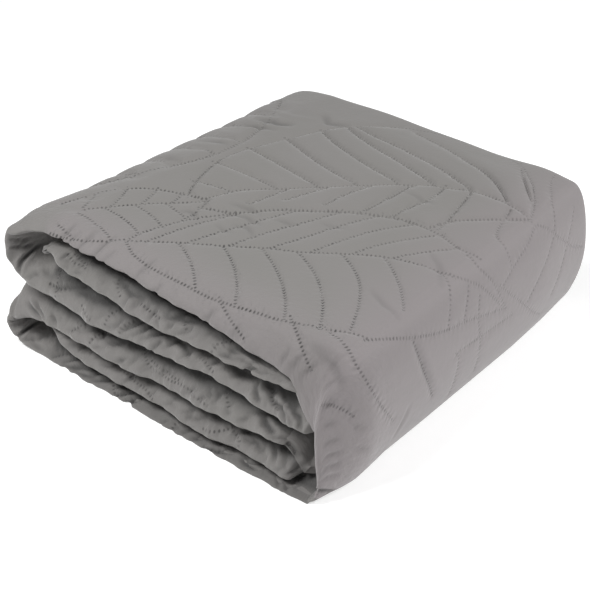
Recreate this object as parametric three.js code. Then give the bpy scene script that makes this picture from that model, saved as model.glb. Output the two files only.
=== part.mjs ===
// A quilted bedspread, folded into a parcel: one closed cloth solid.
// Millimetres, +Z up, origin at the bottom centre of the parcel.
// X runs along the front, from the two folded rolls (-X) to the big smooth wrap (+X).
// The front (-Y) shows the rounded lips of the folded plies.
import * as THREE from 'three';

// Driving dimensions of the folded parcel
const LENGTH = 422;
const DEPTH = 434;
const LEFT_END = -LENGTH / 2;
const RIGHT_END = LENGTH / 2;
const BACK_TAPER = 30;        // how much shorter the parcel is along its back
const PLY_GAP = 3;            // air between two neighbouring lips
const WRAP_CORNER = 26;       // how far along X the wrap's corners are rounded
const ROLL_DEPTH = 48;        // how far along X the two left rolls are rounded
const TURN_POWER = 2.4;       // squareness of a turn: 2 is a round one

// Lips: a ply closes over a short length on its lower or inner side, and over a long
// slope on its upper or outer side, so that its lip hangs a little.
const LIP_SHORT = 9;
const LIP_LONG = 24;
const LIP_HANG = 0.45;        // how far the lip's edge is moved from the ply's middle
const BACK_ROUND = 9;         // the same at the back, where lips are plain
const LIP_FADE = [13, 33];    // distance from the lip where the ply turns into its flat self
const WAVE_FADE = 30;         // distance from the lip where its edge stops being wavy

// Finish
const CLOTH_COLOUR = 0x8a8782;
const CLOTH_ROUGHNESS = 0.85;

// Spacing of the points
const RUN_STEP = 40;          // along a hidden ply
const QUILT_STEP = 10;       // along and across the quilted face
const TURN_STEPS = 8;
const WRAP_STEPS = 16;
const LEAF_STEPS = 24;
const VEIN_STEPS = 8;
const FRONT_ROWS = [0, 2, 7, 14, 24, 36];
const BACK_ROWS = [0, 3, 9, 24];
const MIDDLE_ROWS = 2;

// Relief of the good face
const PUFF = 3;               // height of the filling between two welded lines, off the leaves
const PUFF_REACH = 15;        // distance from a line at which the filling is at full height
const SNAP = 0.35;            // share of a step within which a point moves on to a line
const LEAF_FULLNESS = 0.8;    // less makes a leaf blunter at its foot and tip

// Unevenness of the whole stack, as a share of each point's height
const CROWN = 0.02;
const FRONT_CORNER = 0.03;
const SAG = 0.012;

// The eight doubled plies from the top down. low and high are the flat ply's levels.
// edge holds the levels of its lip's lower edge at EDGE_PLACES along X, and its lip
// reaches up to the lip named in under, or to the level lipHigh. front and back say how
// far the lips stand back from the parcel's faces, wave how uneven they are.
const EDGE_PLACES = [-150, 0, 145, 186];
const PLIES = {
  top: { low: 125, high: 139, edge: [131, 129, 122, 107], lipHigh: 140, front: 13, back: 3, wave: 2 },
  upperBack: { low: 108, high: 121, edge: [114, 114, 110, 110], lipHigh: 121, front: 38, back: 9, wave: 1 },
  upperNose: { low: 91, high: 104, edge: [105, 99, 101, 101], under: 'top', front: 6, back: 3, wave: 2.5 },
  middleTop: { low: 75, high: 88, edge: [72, 73, 69, 69], under: 'upperNose', front: 5, back: 7, wave: 2.5 },
  middleLow: { low: 56, high: 70, edge: [39, 39, 41, 41], under: 'middleTop', front: 4, back: 2, wave: 2.5 },
  lowerBack: { low: 38, high: 52, edge: [41, 41, 41, 41], lipHigh: 51, front: 39, back: 8, wave: 1 },
  lowerNose: { low: 20, high: 34, edge: [21, 15, 15, 15], under: 'middleLow', front: 4, back: 5, wave: 2 },
  bottom: { low: 0, high: 16, edge: [0, 0, 0, 0], under: 'lowerNose', front: 1, back: 0, wave: 1 },
};

// Beside its left turn the upper nose is pressed thin under the ply above it.
const NOSE_PINCH = { ply: 'upperNose', lipHigh: 111, length: 45 };

// The one route of the cloth through the parcel. A run goes along a ply between two
// places on X. A turn goes round to the ply of the next run: reach is how far it bulges
// past the place where the runs stop, ply its thickness there and lip that of its lip,
// front how far its mouth stands back, and slope how much the outer side of its lip
// slopes (1 fully, -1 not at all).
const ROUTE = [
  { run: 'lowerBack', from: 100, to: -126 },
  { turn: 'left', reach: 34, ply: 13, lip: 13, front: 24, slope: 1 },
  { run: 'lowerNose', from: -126, to: 160 },
  { turn: 'right', reach: 35, ply: 13, lip: 13, front: 42, slope: 0 },
  { run: 'upperBack', from: 160, to: -128 },
  { turn: 'left', reach: 34, ply: 13, lip: 13, front: 24, slope: 1 },
  { run: 'upperNose', from: -128, to: 148 },
  { turn: 'right', reach: 20, ply: 15, lip: 15, front: 14, slope: 0 },
  { run: 'middleTop', from: 148, to: LEFT_END + ROLL_DEPTH },
  { turn: 'left', reach: ROLL_DEPTH, ply: 12, lip: 10, front: 4, slope: -0.6 },
  { run: 'top', from: LEFT_END + ROLL_DEPTH, to: RIGHT_END - WRAP_CORNER, quilted: true },
  { turn: 'right', reach: WRAP_CORNER, ply: 13, lip: 22, front: 1, slope: 1, quilted: true },
  { run: 'bottom', from: RIGHT_END - WRAP_CORNER, to: LEFT_END + ROLL_DEPTH },
  { turn: 'left', reach: ROLL_DEPTH, ply: 13, lip: 10, front: 3, slope: -0.6 },
  { run: 'middleLow', from: LEFT_END + ROLL_DEPTH, to: 165 },
];

// The cloth's free end inside the wrap droops on to the ply below it, whose lip steps
// back to let it down.
const DROOP = { ply: 'middleLow', from: 110, to: 165, flat: 18, lip: 15 };
const STEP_BACK = { ply: 'lowerNose', from: 118, to: 150, depth: 36 };

// Quilted leaves on the good face. x and y are the foot of the midrib; past the wrap's
// corner x goes on along the cloth. length, heading (degrees from +X) and bend (degrees
// turned from foot to tip) draw the midrib. left and right are the half widths, pitch is
// the distance between veins, and sweep the angle that they leave the midrib at, which
// grows by leftCurl or rightCurl along them. puff is the height of the filling. A leaf
// higher in the table lies over the ones below it.
const LEAVES = [
  {
    x: 214, y: -104, length: 176, heading: 74, bend: 6, left: 32, right: 78,
    pitch: 42, sweep: 52, leftCurl: 26, rightCurl: 14, puff: 1.6,
  },
  {
    x: -106, y: -177, length: 360, heading: 41, bend: -28, left: 98, right: 116,
    pitch: 40, sweep: 50, leftCurl: -16, rightCurl: 28, puff: 2.6,
  },
  {
    x: 203, y: 122, length: 150, heading: 63, bend: -6, left: 30, right: 92,
    pitch: 42, sweep: 56, leftCurl: 20, rightCurl: 24, puff: 1.6,
  },
  {
    x: 345, y: -226, length: 400, heading: 176, bend: 6, left: 40, right: 56,
    pitch: 52, sweep: 32, leftCurl: 10, rightCurl: 10, puff: 2,
  },
  {
    x: -196, y: -208, length: 170, heading: 56, bend: -14, left: 36, right: 66,
    pitch: 30, sweep: 52, leftCurl: 20, rightCurl: 26, puff: 2.6,
  },
  {
    x: 192, y: 122, length: 415, heading: 187, bend: 54, left: 100, right: 138,
    pitch: 42, sweep: 38, leftCurl: 10, rightCurl: 28, puff: 4,
  },
  {
    x: -252, y: -150, length: 360, heading: 88, bend: 4, left: 60, right: 112,
    pitch: 40, sweep: 66, leftCurl: 26, rightCurl: 26, puff: 3.2,
  },
];

const mix = (a, b, t) => a + (b - a) * t;
const radians = THREE.MathUtils.degToRad;
const smooth = (value, from, to) => THREE.MathUtils.smoothstep(value, from, to);

function places(from, to, step) {
  const count = Math.max(1, Math.round(Math.abs(to - from) / step));
  return Array.from({ length: count + 1 }, (_, i) => mix(from, to, i / count));
}

// How far the free end has sunk at x, for its flat part and for its lip.
function droopAt(name, x) {
  const share = name === DROOP.ply ? smooth(x, DROOP.from, DROOP.to) : 0;
  return { flat: DROOP.flat * share, lip: DROOP.lip * share };
}

// Level of a lip's lower edge at x, from its levels at the named places.
function edgeLevel(name, x) {
  const { edge } = PLIES[name];
  return EDGE_PLACES.slice(1).reduce(
    (level, place, i) => mix(level, edge[i + 1], smooth(x, EDGE_PLACES[i], place)),
    edge[0],
  );
}

function lipTop(name, x, leftEnd) {
  const { under, lipHigh } = PLIES[name];
  const level = under ? edgeLevel(under, x) - PLY_GAP : lipHigh;
  if (name !== NOSE_PINCH.ply) return level;
  return mix(NOSE_PINCH.lipHigh, level, smooth(x, leftEnd, leftEnd + NOSE_PINCH.length));
}

// Stations of a run. Each has its good face and its back face (x and level), both for
// the flat ply and for the lip.
function runStations(section) {
  const ply = PLIES[section.run];
  const goodIsUp = section.to > section.from;
  const [upper, lower] = goodIsUp ? ['good', 'back'] : ['back', 'good'];
  const leftEnd = Math.min(section.from, section.to);
  return places(section.from, section.to, section.quilted ? QUILT_STEP : RUN_STEP).map((x) => {
    const drop = droopAt(section.run, x);
    const stepBack = section.run === STEP_BACK.ply ? smooth(x, STEP_BACK.from, STEP_BACK.to) : 0;
    return {
      [upper]: [x, ply.high - drop.flat],
      [lower]: [x, ply.low - drop.flat],
      lip: {
        [upper]: [x, mix(lipTop(section.run, x, leftEnd) - drop.lip, ply.high, stepBack)],
        [lower]: [x, mix(edgeLevel(section.run, x) - drop.lip, ply.low, stepBack)],
      },
      slope: goodIsUp ? 1 : -1,
      frontEdge: ply.front + STEP_BACK.depth * stepBack,
      backEdge: ply.back,
      wave: ply.wave,
      quilted: Boolean(section.quilted),
    };
  });
}

// A point on half a squared ellipse, from its lower end (t = 0) round to its upper end.
function turnPoint(x, low, high, reach, t) {
  const angle = (t - 0.5) * Math.PI;
  const squared = (value) => Math.sign(value) * Math.abs(value) ** (2 / TURN_POWER);
  const level = (low + high) / 2 + ((high - low) / 2) * squared(Math.sin(angle));
  return [x + reach * squared(Math.cos(angle)), level];
}

// Stations of a turn, which joins the end of one run to the start of the next.
function turnStations(section, before, after) {
  const hand = section.turn === 'right' ? 1 : -1;
  const steps = section.quilted ? WRAP_STEPS : TURN_STEPS;
  const rises = after.good[1] > before.good[1];
  const spread = (side) => Math.abs(after[side][1] - before[side][1]);
  const outside = spread('good') > spread('back') ? 'good' : 'back';
  const place = (from, to, side, ply, t) => {
    const reach = section.reach - (side === outside ? 0 : ply);
    const low = Math.min(from[side][1], to[side][1]);
    const high = Math.max(from[side][1], to[side][1]);
    return turnPoint(from[side][0], low, high, hand * reach, rises ? t : 1 - t);
  };
  return places(0, 1, 1 / steps).slice(1, -1).map((t) => {
    const middle = Math.sin(t * Math.PI);
    const slope = outside === 'good' ? section.slope : -section.slope;
    return {
      good: place(before, after, 'good', section.ply, t),
      back: place(before, after, 'back', section.ply, t),
      lip: {
        good: place(before.lip, after.lip, 'good', section.lip, t),
        back: place(before.lip, after.lip, 'back', section.lip, t),
      },
      slope: mix(mix(before.slope, after.slope, t), slope, middle),
      frontEdge: mix(mix(before.frontEdge, after.frontEdge, t), section.front, middle),
      backEdge: mix(before.backEdge, after.backEdge, t),
      wave: mix(before.wave, after.wave, t),
      quilted: Boolean(section.quilted),
    };
  });
}

// The whole route as one list of stations, each with its distance along the good face
// and, on the quilted face, with its x on the cloth as LEAVES has it.
function layRoute() {
  const runs = ROUTE.map((section) => (section.run ? runStations(section) : null));
  const stations = ROUTE.flatMap((section, i) => {
    if (section.run) return runs[i];
    return turnStations(section, runs[i - 1].at(-1), runs[i + 1][0]);
  });
  let travelled = 0;
  stations.forEach((station, i) => {
    const last = stations[Math.max(0, i - 1)].good;
    travelled += Math.hypot(station.good[0] - last[0], station.good[1] - last[1]);
    station.along = travelled;
  });
  const start = stations.find((station) => station.quilted);
  stations.filter((station) => station.quilted).forEach((station) => {
    station.quiltX = start.good[0] + station.along - start.along;
  });
  return stations;
}

// One leaf's midrib, outline and veins, as lines of [x, y] points.
function drawLeaf(leaf) {
  const midrib = [[leaf.x, leaf.y]];
  const headings = [];
  const step = leaf.length / LEAF_STEPS;
  for (let i = 0; i < LEAF_STEPS; i += 1) {
    const heading = radians(leaf.heading + (leaf.bend * (i + 0.5)) / LEAF_STEPS);
    const [x, y] = midrib.at(-1);
    headings.push(heading);
    midrib.push([x + step * Math.cos(heading), y + step * Math.sin(heading)]);
  }
  headings.push(headings.at(-1));
  const at = (along, across) => {
    const place = THREE.MathUtils.clamp((along / leaf.length) * LEAF_STEPS, 0, LEAF_STEPS - 1e-6);
    const i = Math.floor(place);
    const x = mix(midrib[i][0], midrib[i + 1][0], place - i);
    const y = mix(midrib[i][1], midrib[i + 1][1], place - i);
    return [x - across * Math.sin(headings[i]), y + across * Math.cos(headings[i])];
  };
  const halfWidth = (along, width) => {
    const share = THREE.MathUtils.clamp(along / leaf.length, 0, 1);
    return width * Math.sin(Math.PI * share) ** LEAF_FULLNESS;
  };
  const outline = (width) => places(0, leaf.length, step).map((s) => at(s, halfWidth(s, width)));
  const vein = (start, width, curl) => {
    const line = [at(start, 0)];
    const step = Math.abs(width) / VEIN_STEPS;
    let along = start;
    let across = 0;
    for (let k = 0.5; k < VEIN_STEPS; k += 1) {
      const rise = Math.min(step, halfWidth(along, Math.abs(width)) - across);
      if (rise <= 0) break;
      across += rise;
      along += rise / Math.tan(radians(leaf.sweep + (curl * k) / VEIN_STEPS));
      line.push(at(along, Math.sign(width) * across));
    }
    return line;
  };
  const left = outline(leaf.left);
  const right = outline(-leaf.right);
  const veins = [];
  for (let s = leaf.pitch / 2; s < leaf.length - leaf.pitch / 2; s += leaf.pitch) {
    veins.push(vein(s + leaf.pitch / 4, leaf.left, leaf.leftCurl));
    veins.push(vein(s, -leaf.right, leaf.rightCurl));
  }
  const border = [...left, ...right.toReversed()];
  return { lines: [midrib, left, right, ...veins], border, puff: leaf.puff };
}

function isInside([x, y], border) {
  let inside = false;
  border.forEach(([x1, y1], i) => {
    const [x0, y0] = border.at(i - 1);
    if (y0 > y !== y1 > y && x < x0 + ((x1 - x0) * (y - y0)) / (y1 - y0)) inside = !inside;
  });
  return inside;
}

// Welded lines of the quilting as short pieces. A leaf hides what lies under it.
const QUILT = LEAVES.map(drawLeaf);
const PIECES = QUILT.flatMap((leaf, rank) => {
  const pieces = leaf.lines.flatMap((line) => line.slice(1).map((end, i) => [line[i], end]));
  return pieces.filter(([start, end]) => {
    const centre = [(start[0] + end[0]) / 2, (start[1] + end[1]) / 2];
    return !QUILT.slice(0, rank).some((cover) => isInside(centre, cover.border));
  });
});

// The place on the quilting nearest to x, y, and how far away it is.
function nearestOnQuilt(x, y) {
  let nearest = { distance: Infinity };
  PIECES.forEach(([[x0, y0], [x1, y1]]) => {
    const length = (x1 - x0) ** 2 + (y1 - y0) ** 2;
    const t = THREE.MathUtils.clamp(((x - x0) * (x1 - x0) + (y - y0) * (y1 - y0)) / length, 0, 1);
    const place = [mix(x0, x1, t), mix(y0, y1, t)];
    const distance = Math.hypot(x - place[0], y - place[1]);
    if (distance < nearest.distance) nearest = { distance, place };
  });
  return nearest;
}

// Height of the filling at a place that is a given distance from the quilting.
function puffAt(x, y, distance) {
  const leaf = QUILT.find(({ border }) => isInside([x, y], border));
  const share = 1 - Math.min(1, distance / PUFF_REACH);
  return (leaf ? leaf.puff : PUFF) * Math.sqrt(1 - share ** 2);
}

// How open a ply is at a distance from its lip: 0 at the lip, 1 past the rounding.
function openness(distance, round) {
  if (distance >= round) return 1;
  return (1 - (1 - distance / round) ** TURN_POWER) ** (1 / TURN_POWER);
}

// A point of the cloth: side is 1 on the good face, -1 on the back face; y is measured
// from the front lip to the back one.
function clothPoint(station, y, side) {
  const lipShare = 1 - smooth(y, ...LIP_FADE);
  const isFront = y < DEPTH / 2;
  const frontRound = mix(LIP_SHORT, LIP_LONG, (1 + side * station.slope) / 2);
  const open = isFront ? openness(y, frontRound) : openness(DEPTH - y, BACK_ROUND);
  const hang = isFront ? LIP_HANG * station.slope * (1 - open) : 0;
  const blend = (axis) => {
    const good = mix(station.good[axis], station.lip.good[axis], lipShare);
    const back = mix(station.back[axis], station.lip.back[axis], lipShare);
    return (good + back) / 2 + ((good - back) / 2) * (side * open - hang);
  };
  return new THREE.Vector3(...settle(blend(0), lipPlace(station, y), blend(1)));
}

// A point of the quilted face. One that is close to a welded line moves on to it, and
// any other is lifted by the filling. What faces down is pressed flat.
function quiltedPoint(stations, index, y) {
  const [behind, station, ahead] = stations.slice(index - 1, index + 2);
  const { distance, place } = nearestOnQuilt(station.quiltX, y - DEPTH / 2);
  const isInner = Boolean(behind.quilted && ahead.quilted) && y > LIP_LONG && y < DEPTH - LIP_LONG;
  if (isInner && distance < SNAP * QUILT_STEP) {
    const neighbour = place[0] < station.quiltX ? behind : ahead;
    const share = (place[0] - station.quiltX) / (neighbour.quiltX - station.quiltX);
    const own = clothPoint(station, place[1] + DEPTH / 2, 1);
    return { welded: true, point: own.lerp(clothPoint(neighbour, place[1] + DEPTH / 2, 1), share) };
  }
  const along = new THREE.Vector2(ahead.good[0] - behind.good[0], ahead.good[1] - behind.good[1]).normalize();
  const open = openness(Math.min(y, DEPTH - y), LIP_LONG);
  const puff = puffAt(station.quiltX, y - DEPTH / 2, distance) * open * Math.min(1, 1 + along.x);
  const point = clothPoint(station, y, 1).add(new THREE.Vector3(-along.y * puff, 0, along.x * puff));
  return { welded: false, point };
}

// Where a point lies from front to back, with its lips' wavy edges.
function lipPlace(station, y) {
  const t = y / DEPTH;
  const ripple = Math.sin(station.along / 15.5) + 0.7 * Math.sin(station.along / 6.7 + 1);
  const swing = Math.sin(station.along / 19 + 2);
  const frontWave = station.wave * ripple * (1 - smooth(y, 0, WAVE_FADE));
  const backWave = station.wave * swing * (1 - smooth(DEPTH - y, 0, WAVE_FADE));
  return y - DEPTH / 2 + station.frontEdge * (1 - t) - station.backEdge * t + frontWave - backWave;
}

// The stack is higher at its front left corner and in the middle, a little shorter along
// its back, and never quite level, while its underside stays flat.
function settle(x, y, z) {
  const across = x / LENGTH + 0.5;
  const depth = y / DEPTH + 0.5;
  const crown = CROWN * Math.sin(Math.PI * across) * Math.sin(Math.PI * depth);
  const corner = FRONT_CORNER * (1 - across) * (1 - depth);
  const sag = SAG * Math.sin(x / 47 + y / 90) * (1 - across);
  return [x - BACK_TAPER * across * depth, y, z * (1 + crown + corner + sag)];
}

// Places of the points from the front lip to the back one.
function rowsOf(quilted) {
  const from = FRONT_ROWS.at(-1);
  const to = DEPTH - BACK_ROWS.at(-1);
  const step = quilted ? QUILT_STEP : (to - from) / (MIDDLE_ROWS + 1);
  return [
    ...FRONT_ROWS,
    ...places(from, to, step).slice(1, -1),
    ...BACK_ROWS.toReversed().map((row) => DEPTH - row),
  ];
}

// Triangles between two neighbouring lines of points, however many rows each has. Where
// the rows are level, the edge across runs along a welded line if there is one.
function stitch(first, second, flipped, triangles) {
  let i = 0;
  let j = 0;
  while (i < first.length - 1 || j < second.length - 1) {
    const nextFirst = i < first.length - 1 ? first[i + 1].y : Infinity;
    const nextSecond = j < second.length - 1 ? second[j + 1].y : Infinity;
    const corners = [first[i].vertex, second[j].vertex];
    const isAlongSecond = nextFirst === nextSecond && first[i].welded && second[j + 1]?.welded;
    if (nextFirst <= nextSecond && !isAlongSecond) {
      i += 1;
      corners.push(first[i].vertex);
    } else {
      j += 1;
      corners.push(second[j].vertex);
    }
    triangles.push(...(flipped ? corners.toReversed() : corners));
  }
}

// The cloth's skin: a line of points on each face at every station, both sharing their
// first and last point, which are the lips at the front and at the back.
function clothGeometry() {
  const stations = layRoute();
  const positions = [];
  const addPoint = (point) => positions.push(...point) / 3 - 1;
  const lines = stations.map((station, index) => {
    const good = rowsOf(station.quilted).map((y) => {
      if (!station.quilted) return { y, vertex: addPoint(clothPoint(station, y, 1)) };
      const { welded, point } = quiltedPoint(stations, index, y);
      return { y, welded, vertex: addPoint(point) };
    });
    const back = rowsOf(false).map((y) => {
      if (y === 0) return good[0];
      if (y === DEPTH) return good.at(-1);
      return { y, vertex: addPoint(clothPoint(station, y, -1)) };
    });
    return { good, back };
  });
  const triangles = [];
  lines.slice(1).forEach((line, i) => {
    stitch(lines[i].good, line.good, false, triangles);
    stitch(lines[i].back, line.back, true, triangles);
  });
  stitch(lines[0].good, lines[0].back, true, triangles);
  stitch(lines.at(-1).good, lines.at(-1).back, false, triangles);
  const geometry = new THREE.BufferGeometry();
  geometry.setAttribute('position', new THREE.Float32BufferAttribute(positions, 3));
  geometry.setIndex(withoutSlivers(triangles));
  centre(geometry);
  geometry.computeVertexNormals();
  return geometry;
}

// The origin is at the middle of the parcel's underside.
function centre(geometry) {
  geometry.computeBoundingBox();
  const middle = geometry.boundingBox.getCenter(new THREE.Vector3());
  geometry.translate(-middle.x, -middle.y, -geometry.boundingBox.min.z);
}

// Triangles that use one point twice have no area and are left out.
function withoutSlivers(triangles) {
  const kept = [];
  for (let i = 0; i < triangles.length; i += 3) {
    const [a, b, c] = triangles.slice(i, i + 3);
    if (a !== b && b !== c && c !== a) kept.push(a, b, c);
  }
  return kept;
}

const cloth = new THREE.MeshStandardMaterial({
  color: CLOTH_COLOUR,
  roughness: CLOTH_ROUGHNESS,
  metalness: 0,
});
const bedspread = new THREE.Mesh(clothGeometry(), cloth);
bedspread.name = 'bedspread';

const parcel = new THREE.Group();
parcel.add(bedspread);
export default parcel;
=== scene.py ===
# %% [markdown]
# # A folded quilted bedspread
#
# The bedspread is one thin quilted cloth. It lies folded into a parcel: every ply is the cloth laid
# double, with a rounded lip at the front, and the plies go back and forth, so that the left side
# shows two rolls and the right side one big smooth wrap. The lines of the quilting are rows of small
# welded points that draw large leaves.
#
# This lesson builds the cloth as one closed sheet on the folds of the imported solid, with its filling
# and creases as real geometry, and then gives it a woven finish, a floor, light and a camera.

import math

import bpy
import numpy as np
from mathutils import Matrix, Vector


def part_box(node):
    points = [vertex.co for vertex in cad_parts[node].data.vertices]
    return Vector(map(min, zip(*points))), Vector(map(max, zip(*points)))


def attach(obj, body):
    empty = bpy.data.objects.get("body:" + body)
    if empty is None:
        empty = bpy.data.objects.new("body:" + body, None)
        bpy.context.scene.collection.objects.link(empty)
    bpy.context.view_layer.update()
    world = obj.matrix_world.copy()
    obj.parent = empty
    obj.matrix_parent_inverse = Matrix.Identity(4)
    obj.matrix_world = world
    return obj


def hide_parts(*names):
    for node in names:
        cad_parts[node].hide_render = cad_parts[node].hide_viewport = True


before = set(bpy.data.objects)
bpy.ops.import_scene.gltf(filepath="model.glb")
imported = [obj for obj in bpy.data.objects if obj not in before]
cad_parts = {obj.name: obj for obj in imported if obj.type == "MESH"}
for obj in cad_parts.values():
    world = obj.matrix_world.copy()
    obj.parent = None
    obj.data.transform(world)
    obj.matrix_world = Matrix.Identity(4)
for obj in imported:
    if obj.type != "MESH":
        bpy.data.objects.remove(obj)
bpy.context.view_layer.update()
bpy.ops.object.select_all(action="DESELECT")
cad_low, cad_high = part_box("bedspread")
print("packed solid:", [round(v, 3) for v in cad_low], [round(v, 3) for v in cad_high])

# %% [markdown]
# ## The fold
#
# A folded cloth is a strip that keeps its cross-section while it travels through the parcel. It could
# be simulated from a flat sheet, but sixteen layers that rub on each other seldom come to rest in the
# right place. So the path is given instead: a table of plies with their levels, and a route that
# goes along one ply and turns into the next. All sizes in this part are millimetres.

# %% Sizes of the folded parcel
LENGTH = 422
DEPTH = 434
LEFT_END = -LENGTH / 2
RIGHT_END = LENGTH / 2
BACK_TAPER = 30
WRAP_CORNER = 26
ROLL_DEPTH = 48
TURN_POWER = 2.4
ROUND_TURN = (2.4, 2.4)
METRE = 0.001

LIP_SHORT = 5
LIP_LONG = 36
LIP_POWER = 1.6
LIP_HANG = 0.76
LIP_FADE = (18, 40)
LIP_LEAST = 5
# The rim of the wrap is blunter than a lip: another curve, a rounder far side and less hang.
RIM_POWER = 2.1
RIM_SHORT = 5
RIM_HANG = 0.6

# %% The plies, from the top down
EDGE_PLACES = [-150, -100, -50, 0, 50, 100, 150, 168, 186]
PLIES = {
    "top": dict(
        low=125, high=139, edge=[131, 130, 129, 124, 121, 112, 106, 72, 56], lip_high=140,
        front=[13] * 9, back=3, wave=2,
    ),
    "upper_back": dict(
        low=108, high=121, edge=[114, 114, 114, 114, 113, 111, 110, 110, 110], lip_high=121,
        front=[38] * 9, back=9, wave=1,
    ),
    "upper_nose": dict(
        low=91, high=104, edge=[108, 102, 95, 94, 97, 98, 98, 92, 90], under="top", gap=11,
        front=[6, 6, 6, 6, 6, 6, 8, 22, 44], long=[36, 36, 36, 36, 30, 22, 16, 14, 14], back=3, wave=2.5,
    ),
    "middle_top": dict(
        low=75, high=88, edge=[69, 63, 67, 69, 74, 68, 64, 62, 60], under="upper_nose", gap=7,
        front=[5, 1, 4, 4, 5, 5, 5, 5, 8], long=[36, 36, 36, 36, 36, 40, 54, 54, 54], back=7, wave=2.5,
    ),
    "middle_low": dict(
        low=56, high=70, edge=[37, 37, 36, 37, 37, 38, 40, 40, 40], under="middle_top", gap=6,
        front=[3, -1, 0, 3, 0, 1, 3, 22, 44], back=2, wave=2.5,
    ),
    "lower_back": dict(
        low=38, high=52, edge=[41] * 9, lip_high=51,
        front=[39] * 9, back=8, wave=1,
    ),
    "lower_nose": dict(
        low=20, high=34, edge=[19, 17, 15, 14, 12, 13, 10, 8, 8], under="middle_low", gap=5,
        front=[4, -1, 1, 0, -4, 0, -1, 0, 0], back=5, wave=2,
    ),
    "bottom": dict(
        low=0, high=16, edge=[0] * 9, under="lower_nose", gap=5,
        front=[0, -2, -2, -6, -6, -6, -6, -6, -4], back=0, wave=1,
    ),
}
# The end of one ply droops in the hollow on the right, and another ply steps back there.
DROOP_PLACES = [104, 124, 144, 151, 155, 161, 186]
DROOP_TOPS = [0, -3, -9, -16, -26, -46, -48]
DROOP_EDGES = [0, 4, 2, -1, -8, -26, -28]
DROOP = dict(ply="middle_low", flat=6, fade=62)
STEP_BACK = dict(ply="lower_nose", start=156, end=167, depth=70)
# On the left the open faces of the plies are pinched together, which closes the mouths of the rolls.
PINCHES = dict(
    upper=dict(x=-183, level=119, near=("middle_top", "top")),
    lower=dict(x=-193, level=28, near=("bottom", "middle_low")),
)
PINCH_SHARE = 0.9
PINCH_RISE = (1, 17)
PINCH_FALL = (24, 70)
PINCH_LENGTH = 30
PINCH_DEEP = 40

# %% The route of the cloth through the parcel
# A turn has a reach, the thickness of the ply and of its lip in it, and how far its front steps back.
ROUTE = [
    dict(run="lower_back", start=100, end=-126),
    dict(turn="left", reach=50, ply=13, lip=13, front=8, slope=1),
    dict(run="lower_nose", start=-126, end=160),
    dict(turn="right", reach=35, ply=13, lip=13, front=70, slope=0),
    dict(run="upper_back", start=160, end=-128),
    dict(turn="left", reach=48, ply=13, lip=13, front=8, slope=1),
    dict(run="upper_nose", start=-128, end=174),
    dict(turn="right", reach=15, ply=13, lip=13, front=40, slope=0),
    dict(run="middle_top", start=174, end=LEFT_END + ROLL_DEPTH),
    dict(turn="left", reach=ROLL_DEPTH + 3, ply=12, lip=12, front=0, swap=(0.5, 0.68), power=(5.5, 2.6)),
    dict(run="top", start=LEFT_END + ROLL_DEPTH, end=RIGHT_END - WRAP_CORNER),
    dict(turn="right", reach=WRAP_CORNER, ply=13, lip=17, front=-1, slope=1, blunt=1),
    dict(run="bottom", start=RIGHT_END - WRAP_CORNER, end=LEFT_END + ROLL_DEPTH),
    dict(turn="left", reach=ROLL_DEPTH + 7, ply=13, lip=12, front=-4, swap=(0.42, 0.6), power=(6, 3)),
    dict(run="middle_low", start=LEFT_END + ROLL_DEPTH, end=186),
]
RUN_STEP = 5
TURN_STEPS = 40


# %% Helpers for blending
def mix(a, b, t):
    return a + (b - a) * t


def smooth(value, start, end):
    t = np.clip((value - start) / (end - start), 0, 1)
    return t * t * (3 - 2 * t)


SOFT_READING = (-8, -4, 0, 4, 8)


def along_x(values, x):
    """A value given at the edge places, read softly at x."""
    return np.mean([np.interp(x + offset, EDGE_PLACES, values) for offset in SOFT_READING], axis=0)


def edge_level(name, x):
    """Level of a lip's lower edge at x."""
    return along_x(PLIES[name]["edge"], x)


def lip_top(name, x):
    """Level that a lip reaches up to: the lip above it, less the air between them."""
    ply = PLIES[name]
    level = edge_level(ply["under"], x) - ply["gap"] if "under" in ply else ply["lip_high"]
    return np.maximum(level, edge_level(name, x) + LIP_LEAST)


# %% One straight run of the route
def run_section(run, start, end):
    ply = PLIES[run]
    x = np.linspace(start, end, max(2, round(abs(end - start) / RUN_STEP)))
    zero = np.zeros_like(x)
    drooped = float(run == DROOP["ply"])
    sunk = drooped * smooth(x, DROOP_PLACES[0], DROOP_PLACES[-1])
    stepped = smooth(x, STEP_BACK["start"], STEP_BACK["end"]) if run == STEP_BACK["ply"] else zero
    upper = np.column_stack([x, ply["high"] - DROOP["flat"] * sunk])
    lower = np.column_stack([x, ply["low"] - DROOP["flat"] * sunk])
    top_drop = drooped * np.interp(x, DROOP_PLACES, DROOP_TOPS)
    edge_drop = drooped * np.interp(x, DROOP_PLACES, DROOP_EDGES)
    lip_upper = mix(lip_top(run, x) + top_drop, ply["high"], stepped)
    lip_lower = mix(edge_level(run, x) + edge_drop, ply["low"], stepped)
    pinch, pinch_at = zero.copy(), np.column_stack([zero, zero])
    for place in PINCHES.values():
        if run in place["near"]:
            pinch = 1 - smooth(x, LEFT_END + ROLL_DEPTH, LEFT_END + ROLL_DEPTH + PINCH_LENGTH)
            pinch_at = pinch_at + [place["x"], place["level"]]
    good, back = ("upper", "lower") if end > start else ("lower", "upper")
    faces = dict(upper=upper, lower=lower)
    lips = {
        "upper": np.column_stack([x, lip_upper + zero]), "lower": np.column_stack([x, lip_lower + zero]),
    }
    return dict(
        good=faces[good], back=faces[back], lip_good=lips[good], lip_back=lips[back],
        slope=zero + (1 if end > start else -1), blunt=zero, pinch=pinch, pinch_at=pinch_at,
        front=along_x(ply["front"], x) + STEP_BACK["depth"] * stepped,
        back_edge=zero + ply["back"], wave=zero + ply["wave"],
        long=along_x(ply.get("long", [LIP_LONG] * len(EDGE_PLACES)), x),
        fade=mix(LIP_FADE[1], DROOP["fade"], sunk),
    )


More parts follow.
